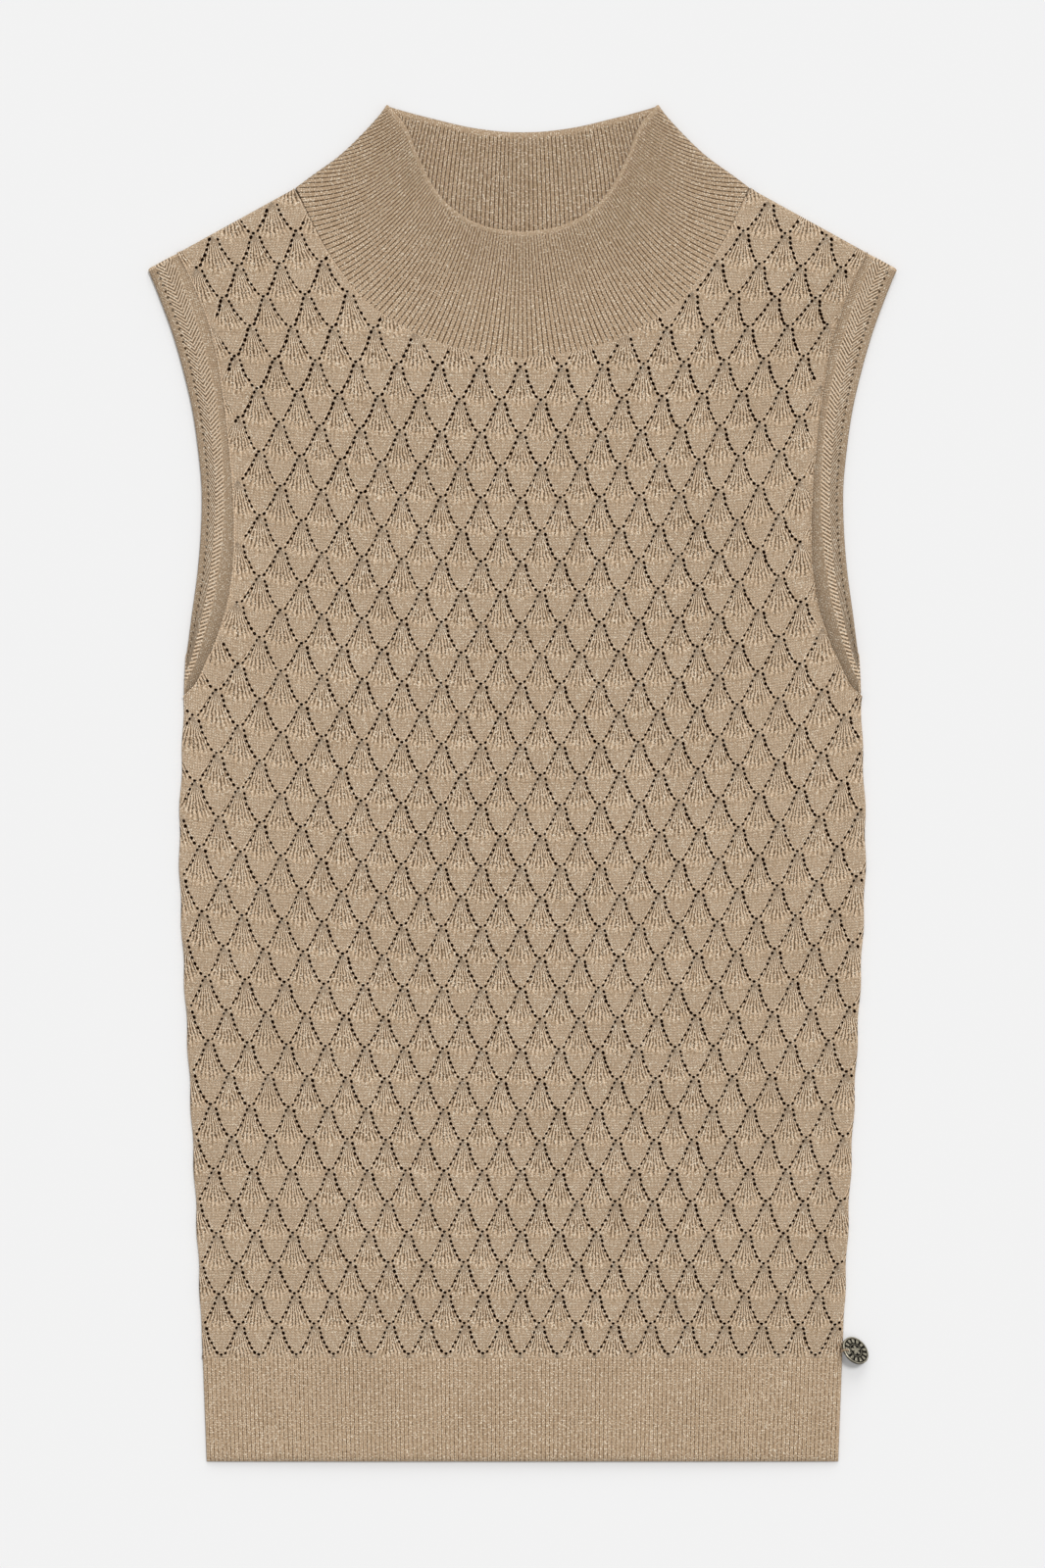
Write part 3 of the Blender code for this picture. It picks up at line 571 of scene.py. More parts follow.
def lace(name, neck_rows, material, front):
    """A pointelle panel: one sheet with every eyelet open, its rims drawn in, and its edges turned down."""
    rng = np.random.default_rng(11 if front else 12)
    loop, kinds = panel_outline(neck_rows)
    free = kinds == "side"
    shift = (0.0, 0.0) if front else BACK_SHIFT
    plan, radii, turns = eyelets(loop, kinds, shift, rng)
    outer = rings_round(plan, radii + EYELET_RIM, turns, 0.0)
    hole = rings_round(plan, radii * (EYELET_THROAT if front else 1.0), turns, 0.5)
    grid = leaf_grid(loop, plan, shift)
    steps = range(-SEWN_TAPER, SEWN_TAPER)
    sewn = 1 - np.max([np.roll(free, k) * (1 - abs(k) / SEWN_TAPER) for k in steps], axis=0)
    borders = [inset(loop, side_in + (sewn_in - side_in) * sewn) for side_in, sewn_in, *_ in PANEL_EDGE]
    parts = [*borders, hole.reshape(-1, 2), grid]
    parts += [outer.reshape(-1, 2)] if front else []
    points = np.vstack(parts)
    starts = np.cumsum([0] + [len(part) for part in parts])
    column, row = lattice_of(points)
    column, row = column - shift[0], row - shift[1]

    drop = STACK - EDGE_LEVEL
    base = STACK + loft(points[:, 0], points[:, 1])
    distance, nearest = distance_inside(points, loop)
    near = smoothstep((distance - 0.8) / 4)
    height = leaf_relief(column, row) * near
    spans = [slice(first, last) for first, last in zip(starts, starts[1:])]
    rings = spans[len(PANEL_EDGE)]
    for span, (_, _, at_side, at_seam, _) in zip(spans, PANEL_EDGE):
        height[span] = -np.where(free, at_side * drop, at_seam)
    height[rings] -= EYELET_DEPTH if front else DEPTH_BACK
    z = base + height if front else LEAF_RISE - height
    if not front:
        # The back's edges rise to meet the front's, and its leaves press on the floor.
        for span, (*_, level) in zip(spans, PANEL_EDGE):
            z[span] = level

    faces = triangulated(points, [list(range(len(loop)))], 1e-5)
    ring_of = np.full(len(points), -1)
    ring_of[rings] = np.repeat(np.arange(len(plan)), EYELET_CORNERS)
    ring = ring_of[faces]
    open_hole = (ring[:, 0] >= 0) & (ring[:, 0] == ring[:, 1]) & (ring[:, 0] == ring[:, 2])
    faces = faces[~open_hole]
    if not front:
        faces = faces[:, ::-1]
    piece = make_piece(name, join(points, z), faces, material, join(column, row))
    # The eyelets' points get a value that the material paints as shade: dark brown inside each eyelet.
    eyelet_shade = np.zeros(len(points))
    eyelet_shade[rings] = 1.0 if front else EYELET_SHADE_BACK
    return painted(piece, "eyelet_shade", eyelet_shade, 30)


# Ribbed hem


def rib_wave(phase):
    """1 on a rib's crest and 0 in the valley between two ribs, which is narrower."""
    return np.abs(np.sin(math.pi * phase)) ** 0.8


def hem(name, material, front):
    """A strip of 1x1 rib. Its lower edge and its sides turn towards the other layer."""
    columns = HEM_RIB_COUNT * HEM_RIB_STEPS + 1
    phase = np.linspace(0, HEM_RIB_COUNT, columns)
    rows = []
    for height in HEM_ROWS:
        width = tabled(SIDE, height)
        x = width * (2 * phase / HEM_RIB_COUNT - 1)
        y = np.full(columns, height - LENGTH / 2)
        edge = np.minimum(width - np.abs(x), EDGE_RUN) / EDGE_RUN
        down = np.sqrt(1 - (1 - edge) ** 2)
        low = min(1.0, height / EDGE_RUN)
        down = down * math.sqrt(1 - (1 - low) ** 2)
        rib = 0.7 * RIB_RISE * (rib_wave(phase) - RIB_MIDDLE) * min(1.0, max(0.25, height / 1.5))
        rib = rib - (0.5 if height > HEM_HEIGHT else 0.0)
        if front:
            z = EDGE_LEVEL + (STACK + loft(x, y) - EDGE_LEVEL + rib) * down
        else:
            z = EDGE_LEVEL - (EDGE_LEVEL - FLOOR_LIFT + rib) * down
        uv = join(phase, np.full(columns, height / COURSE))
        rows.append((join(x, y, z), uv))
    return grid_piece(name, rows, material, turned=not front)


# Rings: a strip runs over the front, round a fold, over the back and round a fold


def fold_points(line, across, outward, turn, radius, flat=1.0):
    """Points in a fold. turn runs from 0 on the front to 1 on the back."""
    place = reach(line, across)
    out = radius * np.sin(math.pi * turn) * flat
    level = FOLD_CENTRE + radius * np.cos(math.pi * turn)
    return join(place[:, 0] + outward[0] * out, place[:, 1] + outward[1] * out, level)


def collar(material):
    """The mock neck: one ribbed tube with an outer and an inner face, which meet in its top edge."""
    seam = mirrored(smooth_line(NECK_SEAM, NECK_POINTS))
    top = mirrored(smooth_line(COLLAR_TOP, NECK_POINTS))
    seam_back = mirrored(smooth_line(NECK_SEAM_BACK, BACK_POINTS))[::-1]
    top_back = mirrored(smooth_line(COLLAR_TOP_BACK, BACK_POINTS))[::-1]
    outward = np.array(COLLAR_FOLD_OUT)
    right = smooth_line(COLLAR_FOLD, 20) - outward * FOLD_CENTRE
    left = right * (-1, 1)
    # The ribs are counted from the middle of the front. They start where the left fold is at the top.
    half = (FRONT_RIBS + BACK_RIBS) / 2 + FOLD_RIBS
    first = -FRONT_RIBS / 2 - COLLAR_TWIST - 1
    phase = first + np.arange(int(2 * COLLAR_STEPS * half)) / COLLAR_STEPS
    place = (phase + half) % (2 * half) - half
    size = np.abs(place)

    def plan(lower, upper, folds, part, across):
        """Places on one layer, bent into the folds at its ends."""
        place = reach(lower, part) * (1 - across) + reach(upper, part) * across
        for end, fold in zip((0.0, 1.0), folds):
            near = np.clip(1 - np.abs(part - end) / COLLAR_BEND, 0, 1)[:, None]
            straight = reach(lower, end) * (1 - across) + reach(upper, end) * across
            place = place + (reach(fold, across) - straight) * smoothstep(near)
        return place

    def ring(across, outer, drawn_in, ribbed):
        """One row round the tube. drawn_in moves it into the wall, to round the top edge."""
        points = np.zeros((len(place), 3))
        rib = RIB_RISE * (rib_wave(phase) - RIB_MIDDLE) * ribbed
        front_half = FRONT_RIBS / 2 + COLLAR_TWIST * across
        turn = (size - front_half) / FOLD_RIBS
        front, back = turn <= 0, turn >= 1
        share = 0.5 + place[front] / (2 * front_half)
        spot = plan(seam, top, (left, right), share, across)
        open_neck = COLLAR_LIFT * smoothstep(across * 2 - 1) * np.sin(math.pi * share) ** 0.5
        level = FRONT_LOW + loft(spot[:, 0], spot[:, 1]) + open_neck
        points[front, :2] = spot
        points[front, 2] = level + (WALL - drawn_in + rib[front] if outer else drawn_in)
        share = (size[back] - front_half - FOLD_RIBS) / (half - front_half - FOLD_RIBS) / 2
        spot = plan(seam_back, top_back, (right, left), np.where(place[back] > 0, share, 1 - share), across)
        points[back, :2] = spot
        points[back, 2] = drawn_in - rib[back] + FLOOR_LIFT if outer else WALL - drawn_in + rib[back]
        radius = FOLD_CENTRE - drawn_in if outer else LAYER_GAP / 2 + drawn_in
        for sign, line in ((1, right), (-1, left)):
            here = ~front & ~back & (place * sign > 0)
            part = np.full(here.sum(), across)
            points[here] = fold_points(line, part, outward * (sign, 1), turn[here], radius)
        course = np.full(len(place), across * COLLAR_COURSES + (0 if outer else INSIDE))
        return points, join(phase, course)

    return grid_piece("collar_rib", [ring(*row) for row in COLLAR_ROWS], material, closed=True)


def armhole_band(name, side, material):
    """A knitted band, closed into a ring, with a rolled free edge. side is 1 for the right one."""
    under_out, over_out = np.array(UNDERARM_OUT), np.array(SHOULDER_OUT)
    seam = smooth_line(ARM_SEAM, ARM_POINTS)
    seam = trimmed(seam, UNDERARM_TRIM * FOLD_CENTRE, FOLD_CENTRE, ARM_POINTS)
    edge = trimmed(smooth_line(ARM_EDGE, ARM_POINTS), 0.0, FOLD_CENTRE, ARM_POINTS)
    drawn = FOLD_CENTRE * (1 - UNDERARM_TAPER)
    under_line = np.array([seam[0], edge[0] - under_out * drawn])
    over_line = np.array([seam[-1], edge[-1]])
    # Places round the ring: 0 to 1 on the front, 1 to 2 in a fold, 2 to 3 on the back, 3 to 4 in a fold
    places = np.concatenate([k + np.arange(count) / count for k, count in enumerate(BAND_STEPS)])
    section = places.astype(int)
    share = places - section
    along = np.select([section == 0, section == 1, section == 2], [share, 1.0 + 0 * share, 1 - share], 0.0)
    free = reach(edge, along) - under_out * drawn * smoothstep(1 - along / UNDERARM_RUN)[:, None]
    root = reach(seam, along)
    width = np.linalg.norm(free - root, axis=1)
    length = np.linalg.norm(np.diff(reach(edge, np.linspace(0, 1, 60)), axis=0), axis=1).sum()

    def ring(from_edge, outer, rise):
        """One row round the band."""
        if from_edge is None:
            across = np.full(len(places), -0.03)
        else:
            across = 1 - from_edge * np.minimum(1, width / 15) / width
        points = np.zeros((len(places), 3))
        spot = root * (1 - across[:, None]) + free * across[:, None]
        front, back = section == 0, section == 2
        points[:, :2] = spot
        level = FRONT_LOW + loft(spot[:, 0], spot[:, 1])
        points[front, 2] = (level + (WALL + rise if outer else 0.0))[front]
        points[back, 2] = -rise * 0.5 + FLOOR_LIFT if outer else WALL
        radius = FOLD_CENTRE + min(0, rise) * 0.5 if outer else LAYER_GAP / 2
        for number, line, out in ((1, over_line, over_out), (3, under_line, under_out)):
            here = section == number
            turn = share[here] if number == 1 else 1 - share[here]
            flat = 1.0 if number == 1 else 1 - UNDERARM_TAPER * across[here]
            points[here] = fold_points(line, across[here], out, turn, radius, flat)
        distance = width * (1 - across)
        return points * (side, 1, 1), join(distance, along * length)

    rows = [ring(*row) for row in BAND_ROWS]
    return grid_piece(name, rows, material, closed=True, turned=side < 0)


def stitch_row(name, line, material, radius, pitch, above):
    """A row of linking stitches along a seam: a thread that swells at each stitch."""
    whole = np.linalg.norm(np.diff(line, axis=0), axis=1).sum()
    steps = int(whole / pitch) * STITCH_STEPS
    line = even(line, steps)
    level = STACK + loft(line[:, 0], line[:, 1]) + above
    ahead = unit(np.gradient(line, axis=0))
    swell = radius * (0.62 + 0.38 * np.cos(np.arange(steps + 1) * math.tau / STITCH_STEPS))
    stitch = np.arange(steps + 1) / STITCH_STEPS
    rows = []
    for corner in range(STITCH_SIDES + 1):
        angle = math.pi * corner / STITCH_SIDES
        out = join(ahead[:, 1], -ahead[:, 0]) * (swell * math.cos(angle))[:, None]
        uv = join(np.full(steps + 1, corner / STITCH_SIDES), stitch)
        rows.append((join(line + out, level + swell * math.sin(angle)), uv))
    return grid_piece(name, rows, material)


# Charm


def coin_axes():
    """The coin's long axis, its short axis towards its raised side, and its normal."""
    long_axis = np.array((math.cos(COIN_LONG_AXIS), math.sin(COIN_LONG_AXIS), 0))
    level = np.array((-long_axis[1], long_axis[0], 0))
    normal = level * math.sin(COIN_TILT) + np.array((0, 0, math.cos(COIN_TILT)))
    return long_axis, -level * math.cos(COIN_TILT) + np.array((0, 0, math.sin(COIN_TILT))), normal


def coin_points(plan, above):
    """Places given on the coin's two axes and above its middle."""
    long_axis, short_axis, normal = coin_axes()
    half = COIN_THICKNESS / 2 - COIN_CHAMFER
    lowest = COIN_RADIUS * COIN_OVAL * math.sin(COIN_TILT) + half * math.cos(COIN_TILT)
    middle = np.array((COIN_CENTRE[0], COIN_CENTRE[1] - LENGTH / 2, lowest + COIN_LIFT))
    plan = np.asarray(plan)
    out = np.outer(np.broadcast_to(above, len(plan)), normal)
    return middle + np.outer(plan[:, 0], long_axis) + np.outer(plan[:, 1], short_axis) + out


def coin_relief(ratio, angle):
    """How far the struck face stands up, 0 to 1: a raised rim, a ring of strokes, a circle and a rosette."""
    stroke = np.clip(np.cos(angle * 13) * 2.5 + 0.6, 0, 1)
    petal = np.abs(np.cos(angle * 2.5))
    level = np.where(ratio > 0.9, 0.9, 0.0)
    level = np.where((ratio > 0.55) & (ratio < 0.84), stroke, level)
    level = np.where((ratio > 0.43) & (ratio < 0.5), 0.5, level)
    return np.where(ratio < 0.12 + 0.25 * petal, 0.9, level)


def charm(material):
    angle = np.arange(COIN_STEPS) * math.tau / COIN_STEPS
    ratio, turn = np.meshgrid(COIN_RINGS, angle, indexing="ij")
    ratio, turn = ratio.ravel(), turn.ravel()
    x = COIN_RADIUS * ratio * np.cos(turn)
    y = COIN_RADIUS * COIN_OVAL * ratio * np.sin(turn)
    clear = np.hypot(x - HOLE_PLACE[0], y - HOLE_PLACE[1]) > HOLE_RADIUS * 1.55
    hole_turn = np.arange(HOLE_STEPS) * math.tau / HOLE_STEPS
    hole = join(np.cos(hole_turn), np.sin(hole_turn)) * HOLE_RADIUS
    rim = join(np.cos(angle), COIN_OVAL * np.sin(angle)) * COIN_RADIUS
    face = join(x, y)[clear]
    plan = np.vstack([rim * 0.985, hole + HOLE_PLACE, hole * 1.35 + HOLE_PLACE, face, [(0, 0)]])
    hole_end = COIN_STEPS + HOLE_STEPS
    worn = np.full(len(plan), 0.8)
    worn[hole_end + HOLE_STEPS : -1] = coin_relief(ratio[clear], turn[clear])
    above = COIN_THICKNESS / 2 - COIN_RELIEF * (1 - worn)
    # The rim and the hole's edge are rounded.
    above[:COIN_STEPS] -= 0.06
    above[COIN_STEPS:hole_end] -= 0.12
    loops = [list(range(COIN_STEPS)), list(range(COIN_STEPS, hole_end))]

    def triangles(points):
        faces = triangulated(points, loops, 1e-6)
        in_hole = ((faces >= COIN_STEPS) & (faces < hole_end)).all(axis=1)
        return faces[~in_hole]

    top = coin_points(plan, above)
    base_plan = np.vstack([rim * 0.94, hole + HOLE_PLACE])
    half = COIN_THICKNESS / 2
    base = coin_points(base_plan, -half)
    points = np.vstack([top, base, coin_points(rim, half - 0.2), coin_points(rim, -half + COIN_CHAMFER)])
    base_start = len(top)
    high = base_start + len(base)
    low = high + COIN_STEPS
    faces = [tuple(face) for face in triangles(plan)[:, ::-1]]
    faces += [tuple(base_start + face) for face in triangles(base_plan)]
    for k in range(COIN_STEPS):
        after = (k + 1) % COIN_STEPS
        faces.append((k, after, high + after, high + k))
        faces.append((high + k, high + after, low + after, low + k))
        faces.append((low + k, low + after, base_start + after, base_start + k))
    for k in range(HOLE_STEPS):
        at = COIN_STEPS + k, COIN_STEPS + (k + 1) % HOLE_STEPS
        faces.append((at[1], at[0], base_start + at[0], base_start + at[1]))
    coin = make_piece("coin_charm", points, faces, material)
    worn = np.concatenate([worn, np.full(len(points) - len(worn), 0.35)])
    return painted(coin, "worn", worn, 40)


def thread_loop(material):
    """Two twisted plies, from the side seam through the coin's hole and back over its rim."""
    root_x, root_z = THREAD_ROOT
    root = np.array((root_x, COIN_CENTRE[1] - LENGTH / 2, root_z))
    rim = np.array(HOLE_PLACE) / np.hypot(*HOLE_PLACE) * COIN_RADIUS
    hole = np.array(HOLE_PLACE)
    # Up through the hole, over the face, round the rim and back under
    on_coin = [(hole, -1.1), (hole, 0.0), (hole, 1.15), (rim * 0.86, 1.35)]
    on_coin += [(rim, 0.85), (rim * 1.02, -0.5), (rim * 0.93, -1.6)]
    knots = [root, root + (0.75, -0.1, 2.1)]
    knots += [coin_points([spot], above)[0] for spot, above in on_coin]
    knots = np.array([*knots, root + (0.1, 0, 2.3)])
    count = len(knots)
    fours = [[knots[(k + shift) % count] for shift in (-1, 0, 1, 2)] for k in range(count)]
    line = np.vstack([curve(*four) for four in fours])
    ahead = unit(np.roll(line, -1, axis=0) - np.roll(line, 1, axis=0))
    sideways = unit(np.array((0, 1, 0)) - ahead * ahead[:, 1:2])
    other = np.cross(ahead, sideways)
    points, faces = [], []
    steps = len(line)
    for ply in range(2):
        start = ply * steps * THREAD_SIDES
        twist = np.arange(steps) * math.tau * THREAD_TWISTS / steps + ply * math.pi
        off = sideways * np.cos(twist)[:, None] + other * np.sin(twist)[:, None]
        centre = line + THREAD_RADIUS * 0.45 * off
        for k in range(steps):
            for corner in range(THREAD_SIDES):
                angle = math.tau * corner / THREAD_SIDES
                out = sideways[k] * math.cos(angle) + other[k] * math.sin(angle)
                points.append(centre[k] + out * THREAD_RADIUS * 0.6)
        for face in grid_faces(steps, THREAD_SIDES, closed=True):
            faces.append(tuple(start + number for number in face))
    return make_piece("charm_thread", np.array(points), faces, material)


# Materials


class Graph:
    """Short calls that add nodes to one material."""

    def __init__(self, name):
        self.material = bpy.data.materials.new(name)
        self.material.use_nodes = True
        self.tree = self.material.node_tree
        self.shader = self.tree.nodes["Principled BSDF"]

    def node(self, kind, inputs=(), **settings):
        made = self.tree.nodes.new("ShaderNode" + kind)
        for key, value in settings.items():
            setattr(made, key, value)
        for key, value in dict(inputs).items():
            self.put(made.inputs[key], value)
        return made

    def put(self, socket, value):
        if isinstance(value, bpy.types.NodeSocket):
            self.tree.links.new(value, socket)
        else:
            socket.default_value = value

    def math(self, operation, *values):
        made = self.node("Math", operation=operation)
        for socket, value in zip(made.inputs, values):
            self.put(socket, value)
        return made.outputs[0]

    times = partialmethod(math, "MULTIPLY")
    over = partialmethod(math, "DIVIDE")
    plus = partialmethod(math, "ADD")
    minus = partialmethod(math, "SUBTRACT")
    linear = partialmethod(math, "MULTIPLY_ADD")
    part = partialmethod(math, "FRACT")
    size = partialmethod(math, "ABSOLUTE")

    def between(self, share, first, second):
        """first where share is 0, and second where it is 1."""
        return self.linear(self.minus(second, first), share, first)

    def off_middle(self, value):
        """How far value is from the middle between two whole numbers."""
        return self.size(self.minus(self.part(value), 0.5))

    def step(self, value, low, high, start=0.0, end=1.0):
        """Goes smoothly from start to end as value goes from low to high."""
        inputs = {"Value": value, "From Min": low, "From Max": high, "To Min": start, "To Max": end}
        return self.node("MapRange", inputs, interpolation_type="SMOOTHSTEP").outputs[0]

    def zone(self, value, rise, fall):
        """1 between two places, with a smooth rise before and a smooth fall after."""
        return self.times(self.step(value, *rise), self.step(value, *fall))

    def wave(self, value):
        """0 to 1 and back once for each whole number, highest at the whole numbers."""
        return self.linear(self.math("COSINE", self.times(value, math.tau)), 0.5, 0.5)

    def noise(self, kind):
        scale, detail = NOISE[kind]
        place = self.node("TexCoord").outputs["Object"]
        return self.node("TexNoise", {"Vector": place, "Scale": scale, "Detail": detail}).outputs[0]

    def attribute(self, name):
        return self.node("Attribute", attribute_name=name).outputs["Fac"]

    def uv(self):
        split = self.node("SeparateXYZ", {"Vector": self.node("UVMap", uv_map="knit").outputs[0]})
        return split.outputs[0], split.outputs[1]

    def stitches(self, wale, course):
        """Knit stitches: each wale is a column of Vs, centred between two whole numbers."""
        side = self.off_middle(wale)
        legs = self.math("SINE", self.times(side, math.tau))
        ripple = self.wave(self.linear(side, -1.2, course))
        return self.times(legs, self.linear(ripple, 0.55, 0.45))

    def mix(self, share, first, second):
        made = self.node("Mix", data_type="RGBA")
        colours = [socket for socket in made.inputs if socket.type == "RGBA"]
        self.put(made.inputs[0], share)
        self.put(colours[0], first)
        self.put(colours[1], second)
        return next(socket for socket in made.outputs if socket.type == "RGBA")

    def own(self, name, value):
        """Sets or links one socket of the shader itself."""
        self.put(self.shader.inputs[name], value)

    def finish(self, colour, roughness, height, depth, strength=1.0):
        bump = self.node("Bump", {"Height": height, "Distance": depth, "Strength": strength})
        self.own("Base Color", colour)
        self.own("Roughness", roughness)
        self.own("Normal", bump.outputs[0])
        return self.material


def yarn_finish(g, height, shade, depth=0.00035, hole_shade=None, grain=0.6):
    """Colours the knit by its relief, as painted shade in its valleys and painted light on its crests, adds
    the metallic thread's glints, painted into the colour, and roughens it.

    height is the relief, 0 to 1, and shade the colour's place from deep to lit, 0 to 1. The hole mask is 1 in
    a hole, where the colour is painted dark brown as shade and the reflection is taken off.
    grain is how much the yarn's flecks count."""
    g.own("Specular IOR Level", YARN_GLOSS)
    place = g.plus(shade, g.linear(g.noise("fleck"), grain, -grain / 2))
    place = g.plus(place, g.linear(g.noise("patch"), PATCHES, -PATCHES / 2))
    dark = g.mix(g.step(place, 0.0, 0.5), YARN["deep"], YARN["mid"])
    colour = g.mix(g.step(place, 0.5, 1.0), dark, YARN["lit"])
    # The metallic thread's flecks, painted pale as its glints: a painted highlight, with lower roughness
    # there.
    glint = g.step(g.noise("glint"), 0.6, 0.72, 0.0, 0.7)
    colour = g.mix(glint, colour, PAINTED_THREAD_GLINT)
    # Painted shade inside the eyelets: dark brown towards their middles, and no reflection there.
    if hole_shade is not None:
        colour = g.mix(g.step(hole_shade, 0.0, 0.6), colour, YARN["rim"])
        colour = g.mix(g.step(hole_shade, 0.2, 1.0), colour, YARN["hole_shade"])
        g.own("Specular IOR Level", g.linear(hole_shade, -YARN_GLOSS, YARN_GLOSS))
    roughness = g.linear(glint, -0.45, 0.82)
    return g.finish(colour, roughness, g.linear(g.noise("fuzz"), 0.35, height), depth)


def pointelle_material(name):
    """Each leaf: plain stitches in its lower half, and a fan of wales above that runs to its tip."""
    g = Graph(name)
    column, row = g.uv()
    first = g.part(g.times(g.plus(row, column), 0.5))
    second = g.part(g.times(g.minus(row, column), 0.5))
    across, up = g.minus(first, second), g.plus(first, second)
    course = g.times(row, COURSES)
    plain = g.stitches(g.linear(across, WALES, 0.5), course)
    fan_wale = g.times(g.over(across, g.minus(FAN_TOP, up)), FAN_WALES)
    fan_wale = g.linear(g.noise("wander"), 0.9, fan_wale)
    beads = g.linear(g.wave(course), 0.25, 0.75)
    crumble = g.linear(g.noise("crumble"), 2.0, -0.4)
    crumble = g.math("MAXIMUM", crumble, g.step(up, *FAN_WHOLE, 0.0, 0.8))
    fan = g.times(g.times(g.wave(fan_wale), beads), crumble)
    ragged = g.linear(g.noise("ragged"), 0.55, g.minus(up, 0.27))
    rough = g.step(g.linear(g.times(across, across), -0.55, ragged), *FAN_START)
    lip = g.zone(up, *LEAF_LIP)
    height = g.linear(lip, 0.2, g.between(rough, plain, fan))
    # Painted shade and light: the colour follows the relief of the stitches and the fan's wales, darker
    # between them and lighter on them, and a little darker along the lip.
    shade = g.between(rough, g.linear(plain, *PLAIN_SHADE), g.linear(fan, *FAN_SHADE))
    # The eyelets' painted shade, read from the value on their points.
    hole_shade = g.step(g.attribute("eyelet_shade"), 0.0, EYELET_SHADE_BACK)
    return yarn_finish(g, height, g.linear(lip, -0.06, shade), 0.0005, hole_shade)


def rib_material(name, darker, depth, turned=False, grain=0.6):
    """1x1 rib. depth sets the painted shade in its valleys. turned gives it a plain top edge, painted a
    little lighter as a highlight, and painted shade on its inner face.
    """
    g = Graph(name)
    rib, course = g.uv()
    stitch = g.stitches(rib, course)
    # Painted shade: the valleys between the ribs are darker by depth, and the colour follows the stitches'
    # relief.
    valley = g.step(g.off_middle(rib), *RIB_VALLEY_SHADE)
    shade = g.linear(stitch, 0.25, 0.5 - darker)
    if turned:
        # Painted shade on the collar's inner face, and a painted highlight on its plain top edge.
        inside = g.step(course, INSIDE - 40, INSIDE - 30)
        edge = g.zone(course, *COLLAR_EDGE)
        plain = g.math("MAXIMUM", edge, g.step(course, INSIDE + 49, INSIDE + 50))
        valley = g.times(valley, g.minus(1.0, plain))
        shade = g.linear(edge, 0.04, g.linear(inside, -0.08, shade))
    return yarn_finish(g, stitch, g.linear(valley, -depth, shade), grain=grain)


def band_material(name):
    """A band knitted sideways: chevrons, a row of gaps beside the rolled edge, and plain knit on the roll."""
    g = Graph(name)
    from_edge, along = g.uv()
    arm = g.size(g.minus(from_edge, CHEVRON["middle"]))
    chevron = g.wave(g.over(g.linear(arm, -CHEVRON["slope"], along), CHEVRON["pitch"]))
    plain = g.stitches(g.over(along, 1.5), g.over(from_edge, 1.2))
    zone = g.zone(from_edge, *CHEVRON["zone"])
    height = g.between(zone, plain, chevron)
    from_gap = g.times(g.minus(g.part(g.over(along, GAP["pitch"])), 0.5), GAP["pitch"])
    off = g.minus(from_edge, GAP["from_edge"])
    square = g.plus(g.times(from_gap, from_gap), g.times(off, off))
    gap = g.step(g.math("SQRT", square), *GAP["size"])
    # Painted shade and light: the colour follows the relief, darker in the chevrons' valleys and lighter on
    # their crests.
    shade = g.linear(height, g.linear(zone, 0.8, 0.15), g.linear(zone, -0.42, 0.52))
    # The gaps are pressed into the bump and painted dark, as the shade in them.
    height, shade = (g.linear(gap, GAP["depth"], value) for value in (height, shade))
    return yarn_finish(g, height, shade, 0.0006)


def seam_material(name, shade_level):
    """Thread whose plies swell and thin."""
    g = Graph(name)
    _, stitch = g.uv()
    ply = g.wave(g.times(stitch, 2.0))
    # Painted shade and light that follow the plies.
    return yarn_finish(g, ply, g.linear(ply, 0.2, shade_level), 0.0002)


def metal_material(name):
    """Old brass: dark in its hollows and worn bright on what stands up."""
    g = Graph(name)
    g.own("Metallic", 0.6)
    g.own("Specular IOR Level", 0.12)
    cloud = g.noise("cloud")
    worn = g.step(g.attribute("worn"), 0.1, 0.9)
    worn = g.times(worn, g.step(cloud, 0.3, 0.6, 0.5, 1.0))
    colour = g.mix(worn, METAL["dark"], METAL["worn"])
    return g.finish(colour, g.linear(worn, -0.25, 0.55), cloud, 0.0001, 0.6)


# Floor, light and camera


def floor():
    corners = [(x * FLOOR_HALF, y * FLOOR_HALF, 0) for x, y in ((-1, -1), (1, -1), (1, 1), (-1, 1))]
    g = Graph("pale_floor")
    g.own("Base Color", PALE)
    g.own("Roughness", 0.9)
    g.own("Specular IOR Level", 0.0)
    made = make_piece("floor", corners, [(0, 1, 2, 3)], g.material, smooth=False)


def sun(name, strength, spread, towards):
    """A distant light that shines from a direction, given as the place it comes from."""
    data = bpy.data.lights.new(name, "SUN")
    data.energy = strength
    data.angle = math.radians(spread)
    add(name, data).rotation_euler = Vector(towards).to_track_quat("Z", "Y").to_euler()


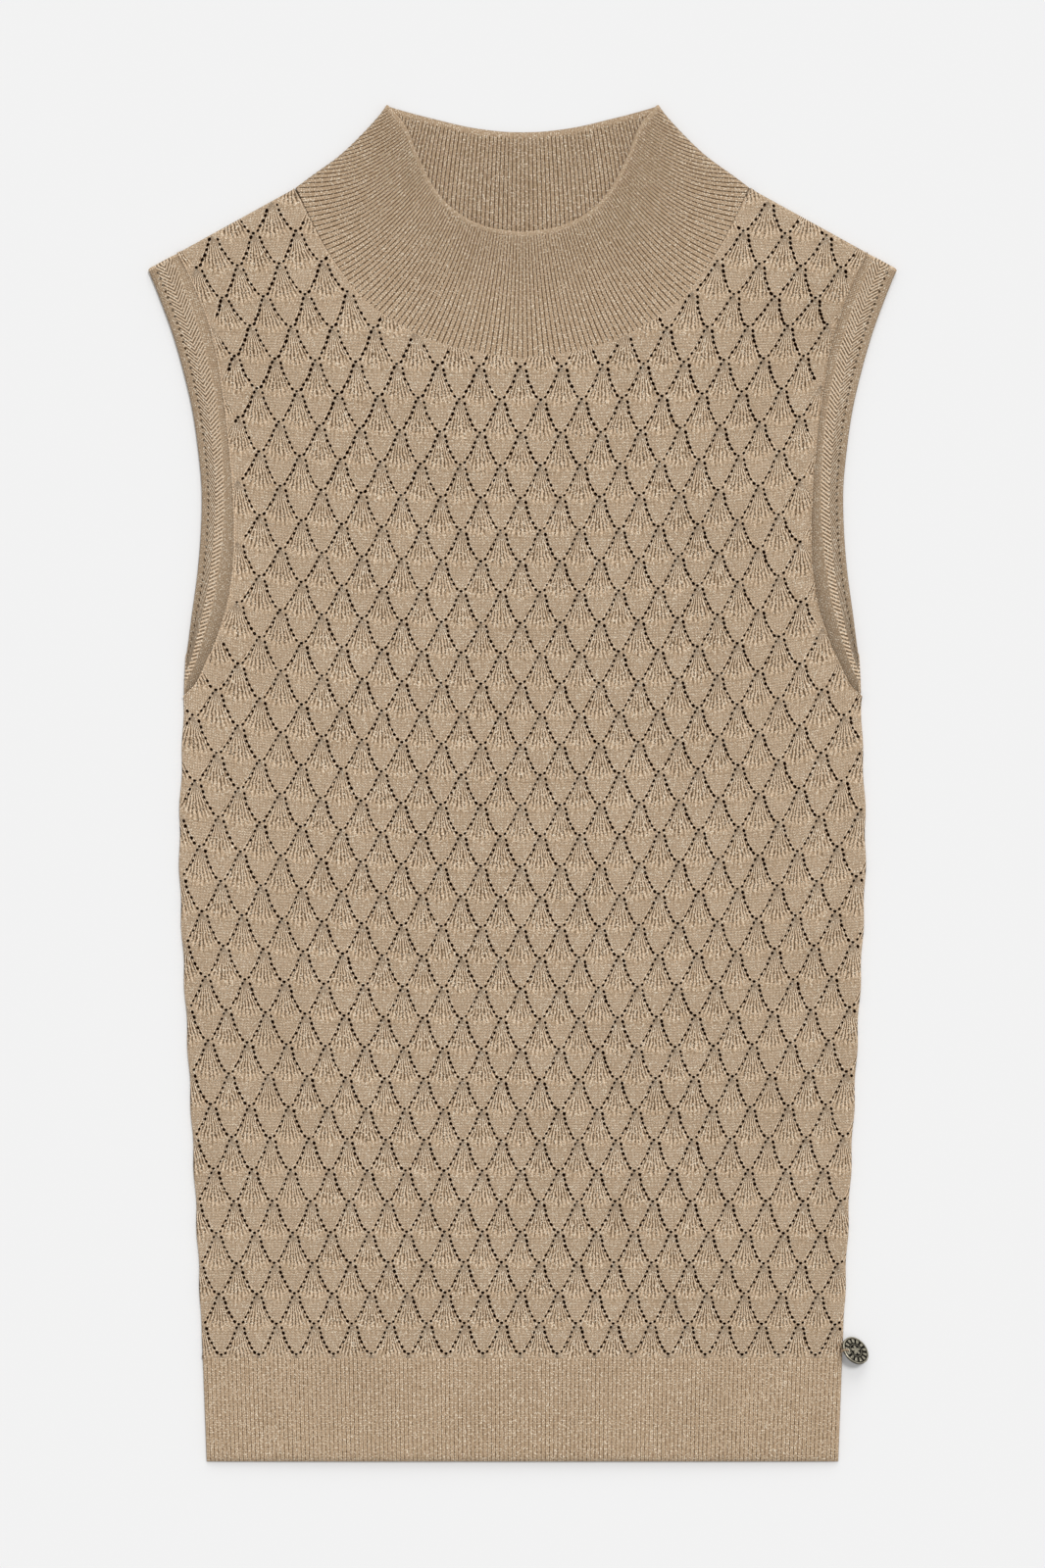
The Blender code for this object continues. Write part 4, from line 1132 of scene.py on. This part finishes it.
def studio():
    for name, light in SUNS.items():
        sun(name, *light)
    world = bpy.data.worlds.new("studio")
    world.use_nodes = True
    background = world.node_tree.nodes["Background"]
    background.inputs["Color"].default_value = (1, 1, 1, 1)
    background.inputs["Strength"].default_value = 0.55
    scene = bpy.context.scene
    scene.world = world
    scene.view_settings.view_transform = "Standard"
    data = bpy.data.cameras.new("camera")
    data.lens = LENS
    data.sensor_width = SENSOR
    data.clip_end = 20
    camera = add("camera", data)
    camera.location = Vector((*FRAME_MIDDLE, FRAME_HEIGHT * LENS / SENSOR)) * MM
    bpy.context.scene.camera = camera


# The whole vest


def dress(piece, slot, *nodes, body=GARMENT, flat=None, rests_on=(), area=None):
    """Attaches a piece to its body and hides the solids named in nodes. slot is not used, and flat, a sheet's
    flat size in millimetres, is turned into metres and then not used.
    """
    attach(piece, body)
    if nodes:
        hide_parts(*nodes)
    if flat:
        flat = tuple(side * MM for side in flat)


def main():
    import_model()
    studio()
    floor()
    pointelle = pointelle_material("pointelle_knit")
    rib = rib_material("hem_rib_knit", 0.07, 0.32, grain=0.95)
    collar_knit = rib_material("collar_rib_knit", 0.1, 0.68, turned=True)
    band = band_material("band_knit")

    back = lace("back_lace", NECK_SEAM_BACK, pointelle, False)
    dress(back, "pointelle_knit", "back_panel", flat=(350, 596), area=0.186)
    front = lace("front_lace", NECK_SEAM, pointelle, True)
    dress(front, "pointelle_knit", "front_panel", flat=(350, 596), rests_on=["back_lace"], area=0.178)
    dress(hem("back_hem", rib, False), "rib_knit", "hem_rib_back", flat=(324, 53))
    dress(hem("front_hem", rib, True), "rib_knit", "hem_rib_front", flat=(324, 53), rests_on=["back_hem"])
    dress(collar(collar_knit), "rib_knit", "collar", flat=(520, 60), rests_on=["back_lace"])
    for name, side in (("right", 1), ("left", -1)):
        made = armhole_band(f"{name}_armhole_band", side, band)
        dress(made, "band_knit", f"armhole_band_{name}", flat=(420, 18), rests_on=["back_lace"])

    neck_line = mirrored(smooth_line(NECK_SEAM, NECK_POINTS))
    dress(stitch_row("neck_seam", neck_line, seam_material("neck_seam", 0.7), 0.3, 1.7, -0.22), "rib_knit")
    arm_line = smooth_line(ARM_SEAM, ARM_POINTS)
    # The right seam is painted darker, as in shade, and the left one lighter, as lit: one thread in painted
    # shade and painted light.
    for name, side, shade in (("right", 1, 0.38), ("left", -1, 0.72)):
        line = (arm_line * (side, 1))[::side]
        seam = seam_material(f"{name}_arm_seam", shade)
        dress(stitch_row(f"{name}_arm_seam", line, seam, 0.45, 1.6, -0.1), "band_knit")

    dress(charm(metal_material("old_metal")), "charm_metal", "charm", body="charm")
    dress(thread_loop(seam_material("sewing_thread", 0.3)), "thread", "charm_loop", body="charm")


main()
